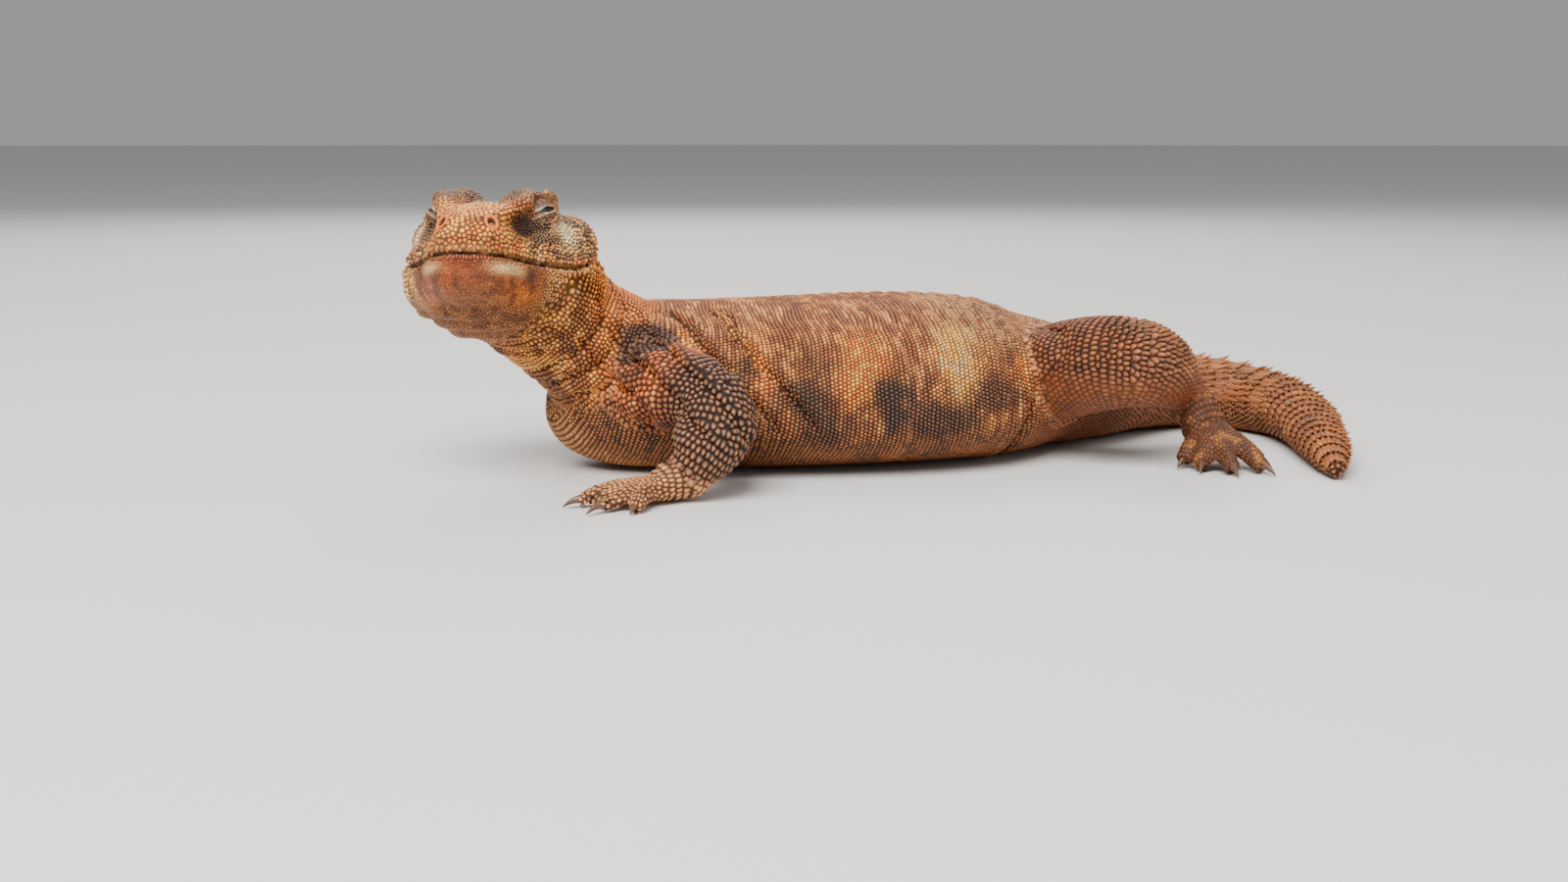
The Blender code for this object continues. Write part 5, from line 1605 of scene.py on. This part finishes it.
def wet_eye():
    """Dark eye under a clear wet coat."""
    tree = Tree("wet eye")
    fibre = tree.grain(6000.0)
    colour = tree.tinted(fibre, (0.8, 0.8, 0.8, 1), (1.2, 1.2, 1.2, 1))
    return tree.finish(Base_Color=colour, Roughness=fibre * 0.1 + 0.25, Specular_IOR_Level=0.25,
                       Coat_Weight=0.3, Coat_Roughness=0.03)


def pale_floor(colour):
    """A matt floor with faint clouds."""
    tree = Tree("pale floor")
    cloud = tree.grain(3.0)
    shade = tree.mix(cloud, (*(0.97 * c for c in colour), 1), (*colour, 1))
    return tree.finish(Base_Color=shade, Roughness=cloud * 0.1 + 0.75, Specular_IOR_Level=0.2)


def dress(obj, material, body="root"):
    """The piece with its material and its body."""
    obj.data.materials.append(material)
    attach(obj, body)
    return obj


# What a user would change

class UromastyxSkin(bpy.types.PropertyGroup):
    """Heights of the scales on the trunk and the limbs"""
    scale_height: FloatProperty(name="Scale height",
                                description="Height of the body's scales as a share of their "
                                "spacing", default=0.30, min=0.05, max=0.8, subtype="FACTOR")
    keel: FloatProperty(name="Limb keel",
                        description="Height of the ridge on the limbs' scales as a share of "
                        "their spacing", default=0.20, min=0.0, max=0.6, subtype="FACTOR")


class UromastyxTail(bpy.types.PropertyGroup):
    """Number and length of the tail's spines"""
    whorls: IntProperty(name="Whorls", description="Rings of spines along the tail",
                        default=25, min=12, max=34)
    around: IntProperty(name="Spines round", description="Spines in the first ring",
                        default=23, min=10, max=30)
    length: FloatProperty(name="Spine length", description="Length of the largest spines of the tail",
                          default=0.0062, min=0.002, max=0.01, unit="LENGTH")


class UromastyxHead(bpy.types.PropertyGroup):
    """Opening of the lids and colours of the eyes and claws"""
    opening: FloatProperty(name="Lid opening",
                           description="Angle between the edges of the lids at their middle",
                           default=math.radians(14), min=0.0, max=math.radians(60), unit="ROTATION")
    iris: FloatVectorProperty(name="Iris", description="Colour of the iris", default=(0.075, 0.035, 0.012),
                              subtype="COLOR", size=3, min=0, max=1)
    claw: FloatVectorProperty(name="Claw", description="Colour of the claws at their roots",
                              default=(0.17, 0.085, 0.045), subtype="COLOR", size=3, min=0, max=1)


class UromastyxStage(bpy.types.PropertyGroup):
    """Floor and light"""
    floor: FloatVectorProperty(name="Floor", description="Colour of the floor", default=(0.74, 0.72, 0.69),
                               subtype="COLOR", size=3, min=0, max=1)
    light: FloatProperty(name="Light", description="Power of the main light",
                         default=24.0, min=0.0, unit="POWER")


class OBJECT_OT_uromastyx_skin(bpy.types.Operator):
    """Builds the one skin that covers every form of the body"""
    bl_idname = "object.uromastyx_skin"
    bl_label = "Skin"

    def execute(self, context):
        skin = dress(make_skin(), soft_skin("bare skin"))
        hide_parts(*FLESH_NODES)
        return {"FINISHED"}


class OBJECT_OT_uromastyx_scales(bpy.types.Operator):
    """Covers the skin with scales: small plates on the head, fine rows on the body, larger ones on the
    limbs"""
    bl_idname = "object.uromastyx_scales"
    bl_label = "Scales"

    def execute(self, context):
        skin = context.scene.uromastyx_skin
        surface = Surface()
        groups = all_seeds(surface)
        draw = np.random.default_rng(5)
        horn, head_horn = horn_scales("body scales", 0.15), horn_scales("head scales", 0.22)

        fine = groups["head"].sizes < FINE_SIZE
        for name, mask, profile, sides, height in (("head_scales", ~fine, BEAD, 8, 0.27),
                                                   ("throat_scales", fine, LOW, 6, 0.20)):
            head = groups["head"].kept(mask)
            f, side, _ = head_places(head.points)
            spiny = smooth_step(-f, 6, 10) * smooth_step(side, 11, 14)
            colours = spread(markings(head.place), draw, 0.16)
            soft = softness(head.place)
            height = height * draw.uniform(0.7, 1.25, len(f)) * (1 - 0.75 * soft)
            # glint: a painted highlight on the tips, stronger on the cheek, where it also gives the scales
            # pale centres
            glint = (0.05 + 0.3 * smooth_step(side, 9, 13)) * (1 - soft)
            scales = scale_mesh(name, head, colours, profile, sides, height, tilt=0.05 + 0.2 * spiny,
                                spike=1.3 * spiny, depth=1 - 0.85 * soft, glint=glint)
            dress(scales, head_horn)

        neck = groups["neck"]
        colours = spread(markings(neck.place), draw, 0.16)
        front = smooth_step(neck.place.t, 0.45, 0.85) * (neck.place.angle > -0.5)
        scales = scale_mesh("neck_scales", neck, colours, DOME, 8, 0.26, tilt=0.15, spike=0.9 * front,
                            keel=0.1, most=0.9, glint=0.15)
        dress(scales, horn)

        trunk = groups["trunk"]
        quarter = np.digitize(trunk.points[:, 0], TRUNK_CUTS)
        for number in range(4):
            part = trunk.kept(quarter == number)
            colours = spread(markings(part.place), draw, 0.13)
            scales = scale_mesh(f"trunk_scales_{number + 1}", part, colours, LOW, 6, skin.scale_height,
                                tilt=0.12, most=0.8, narrow=0.93, glint=0.10)
            dress(scales, horn)

        dress(nostril_cups(surface), head_horn)

        hind = [number for name, number in NUMBER.items() if name.startswith("hind")]
        for name, group, rear, most in (("foreleg_scales", "legs", False, 0.95),
                                        ("hindleg_scales", "legs", True, 0.95),
                                        ("hand_scales", "feet", False, 0.75),
                                        ("foot_scales", "feet", True, 0.75)):
            limb = groups[group].kept(np.isin(groups[group].place.region, hind) == rear)
            colours = spread(markings(limb.place), draw, 0.15)
            up = np.clip(limb.normals[:, 2] * 0.5 + 0.5, 0, 1)
            spiky = (name == "hindleg_scales") * up * smooth_step(limb.place.t, 0.42, 0.62)
            # glint: a painted highlight on the tips of the limb scales, strongest on the forearm
            pale = 0.16 + 0.26 * (name == "foreleg_scales") * smooth_step(limb.place.t, 0.42, 0.56)
            soft = softness(limb.place)
            hard = 1 - soft
            scales = scale_mesh(name, limb, colours, DOME, 8, 0.20 * (1 - 0.7 * soft), tilt=0.20 * hard,
                                spike=(0.03 + 0.6 * spiky) * hard, keel=0.5 * skin.keel * hard, overlap=0.08,
                                depth=1 - 0.6 * soft, most=most, glint=pale * hard)
            dress(scales, horn)

        tail = groups["tail"]
        colours = spread(markings(tail.place), draw, 0.15)
        scales = scale_mesh("tail_scales", tail, colours, LOW, 6, 0.28, tilt=0.25, spike=0.1, keel=0.08,
                            most=0.9, glint=0.12)
        dress(scales, horn)
        return {"FINISHED"}


class OBJECT_OT_uromastyx_spines(bpy.types.Operator):
    """Sets rings of curved spines on the tail"""
    bl_idname = "object.uromastyx_spines"
    bl_label = "Tail spines"

    def execute(self, context):
        tail = context.scene.uromastyx_tail
        draw = np.random.default_rng(7)
        length = tail.length / MM
        roots, normals, lie, lengths = whorl_spines(Surface(), tail.whorls, tail.around, length, draw)
        place = Place(roots)
        colours = spread(markings(place), draw, 0.15)
        tips = blend(colours * 1.35, SAND, np.full(len(roots), 0.32))
        spines = spikes("tail_spines", roots, normals, lie, lengths, 0.24 * lengths,
                        np.full(len(roots), 0.42), colours, tips, unwrap(place))
        dress(spines, horn_scales("tail horn", 0.14))
        return {"FINISHED"}


class OBJECT_OT_uromastyx_claws(bpy.types.Operator):
    """Sets a hooked claw on each digit"""
    bl_idname = "object.uromastyx_claws"
    bl_label = "Claws"

    def execute(self, context):
        colour = context.scene.uromastyx_head.claw
        dress(claw_spikes("claws", colour, [0.35 * c for c in colour]), horn_claws())
        return {"FINISHED"}


class OBJECT_OT_uromastyx_eyes(bpy.types.Operator):
    """Sets the two eyes and their nearly closed lids"""
    bl_idname = "object.uromastyx_eyes"
    bl_label = "Eyes and lids"

    def execute(self, context):
        head = context.scene.uromastyx_head
        opening = math.degrees(head.opening)
        wet = wet_eye()
        for name, side in (("left", 1), ("right", -1)):
            eye = dress(eye_ball(f"eye_ball_{name}", side, head.iris, (0.004, 0.003, 0.003)), wet)
            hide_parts(f"eye_{name}")
        points, quads, triangles = joined([lid_shell(side, upper, opening) for side, upper in LIDS])
        lids = new_mesh("lids", points, [quads, triangles])
        set_colour(lids.data, "markings", lid_colours(points) * 0.5)
        dress(lids, soft_skin("lid skin"))
        draw = np.random.default_rng(9)
        for number, (side, upper) in enumerate(LIDS, 1):
            seeds = lid_seeds(side, upper, opening)
            colours = spread(lid_colours(seeds.points), draw, 0.12)
            scales = scale_mesh(f"lid_scales_{number}", seeds, colours, LID_DOME, 8, 0.15, depth=0.6)
            dress(scales, horn_scales(f"lid scales {number}", 0.1))
        return {"FINISHED"}


def make_floor(colour):
    """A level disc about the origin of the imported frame, in rings."""
    turn = np.linspace(0, 2 * math.pi, FLOOR_SIDES, endpoint=False)
    reach = np.array(FLOOR_RINGS)[:, None]
    rings = np.stack([reach * np.cos(turn), reach * np.sin(turn), 0 * reach * turn], axis=-1) - SHIFT
    points = np.vstack([rings.reshape(-1, 3), [-SHIFT]])
    j = np.arange(FLOOR_SIDES)
    fan = np.stack([j, (j + 1) % FLOOR_SIDES, np.full(FLOOR_SIDES, len(FLOOR_RINGS) * FLOOR_SIDES)], axis=1)
    floor = new_mesh("floor", points, [ring_quads(len(FLOOR_RINGS), FLOOR_SIDES), fan])
    floor.data.materials.append(pale_floor(colour))
    return floor


def add_light(name, place, size, power):
    """A square area light that faces a place just over the floor's middle."""
    data = bpy.data.lights.new(name, "AREA")
    data.size, data.energy = size, power
    lamp = bpy.data.objects.new(name, data)
    lamp.location = place
    lamp.rotation_euler = (Vector((0, 0, 0.02)) - Vector(place)).to_track_quat("-Z", "Y").to_euler()
    bpy.context.scene.collection.objects.link(lamp)


def add_sky():
    """An even grey-blue light from all round."""
    world = bpy.data.worlds.new("studio")
    world.use_nodes = True
    background = world.node_tree.nodes["Background"]
    background.inputs[0].default_value, background.inputs[1].default_value = SKY
    bpy.context.scene.world = world


def add_camera():
    """The photograph's view: the camera stands off the animal's middle at the azimuth and elevation, and
    faces it."""
    data = bpy.data.cameras.new("camera")
    data.lens, data.sensor_width = CAMERA_LENS, CAMERA_SENSOR
    data.clip_start = 0.01
    camera = bpy.data.objects.new("camera", data)
    azimuth, elevation = math.radians(CAMERA_AZIMUTH), math.radians(CAMERA_ELEVATION)
    back = Vector((math.sin(azimuth) * math.cos(elevation), -math.cos(azimuth) * math.cos(elevation),
                   math.sin(elevation)))
    middle = np.array(CAMERA_MIDDLE) + SHIFT
    camera.location = Vector(middle * MM) + back * CAMERA_DISTANCE
    camera.rotation_euler = (-back).to_track_quat("-Z", "Y").to_euler()
    bpy.context.scene.collection.objects.link(camera)
    bpy.context.scene.camera = camera


class OBJECT_OT_uromastyx_stage(bpy.types.Operator):
    """Lays the floor and sets the lights and the camera"""
    bl_idname = "object.uromastyx_stage"
    bl_label = "Stage"

    def execute(self, context):
        stage = context.scene.uromastyx_stage
        floor = make_floor(stage.floor)
        for name, place, size, share in LIGHTS:
            add_light(name, place, size, share * stage.light)
        add_sky()
        add_camera()
        return {"FINISHED"}


class VIEW3D_PT_uromastyx(bpy.types.Panel):
    """The settings and the build steps in the sidebar"""
    bl_label = "Uromastyx"
    bl_idname = "VIEW3D_PT_uromastyx"
    bl_space_type = "VIEW_3D"
    bl_region_type = "UI"
    bl_category = "Uromastyx"

    def draw(self, context):
        for group, names in PANEL_ROWS:
            settings = getattr(context.scene, group)
            for name in names:
                self.layout.prop(settings, name)
        for operator in OPERATORS:
            self.layout.operator(operator.bl_idname)


GROUPS = {"uromastyx_skin": UromastyxSkin, "uromastyx_tail": UromastyxTail, "uromastyx_head": UromastyxHead,
          "uromastyx_stage": UromastyxStage}
PANEL_ROWS = (("uromastyx_skin", ("scale_height", "keel")),
              ("uromastyx_tail", ("whorls", "around", "length")),
              ("uromastyx_head", ("opening", "iris", "claw")), ("uromastyx_stage", ("floor", "light")))
OPERATORS = (OBJECT_OT_uromastyx_skin, OBJECT_OT_uromastyx_scales, OBJECT_OT_uromastyx_spines,
             OBJECT_OT_uromastyx_claws, OBJECT_OT_uromastyx_eyes, OBJECT_OT_uromastyx_stage)


def register():
    """Adds the classes and the scene's settings."""
    for cls in (*GROUPS.values(), *OPERATORS, VIEW3D_PT_uromastyx):
        bpy.utils.register_class(cls)
    for name, group in GROUPS.items():
        setattr(bpy.types.Scene, name, PointerProperty(type=group))


def unregister():
    """Takes the settings and the classes away."""
    for name in GROUPS:
        delattr(bpy.types.Scene, name)
    for cls in reversed((*GROUPS.values(), *OPERATORS, VIEW3D_PT_uromastyx)):
        bpy.utils.unregister_class(cls)


def main():
    """Builds every piece and the stage."""
    register()
    bpy.ops.object.uromastyx_skin()
    bpy.ops.object.uromastyx_scales()
    bpy.ops.object.uromastyx_spines()
    bpy.ops.object.uromastyx_claws()
    bpy.ops.object.uromastyx_eyes()
    bpy.ops.object.uromastyx_stage()


if __name__ == "__main__":
    main()
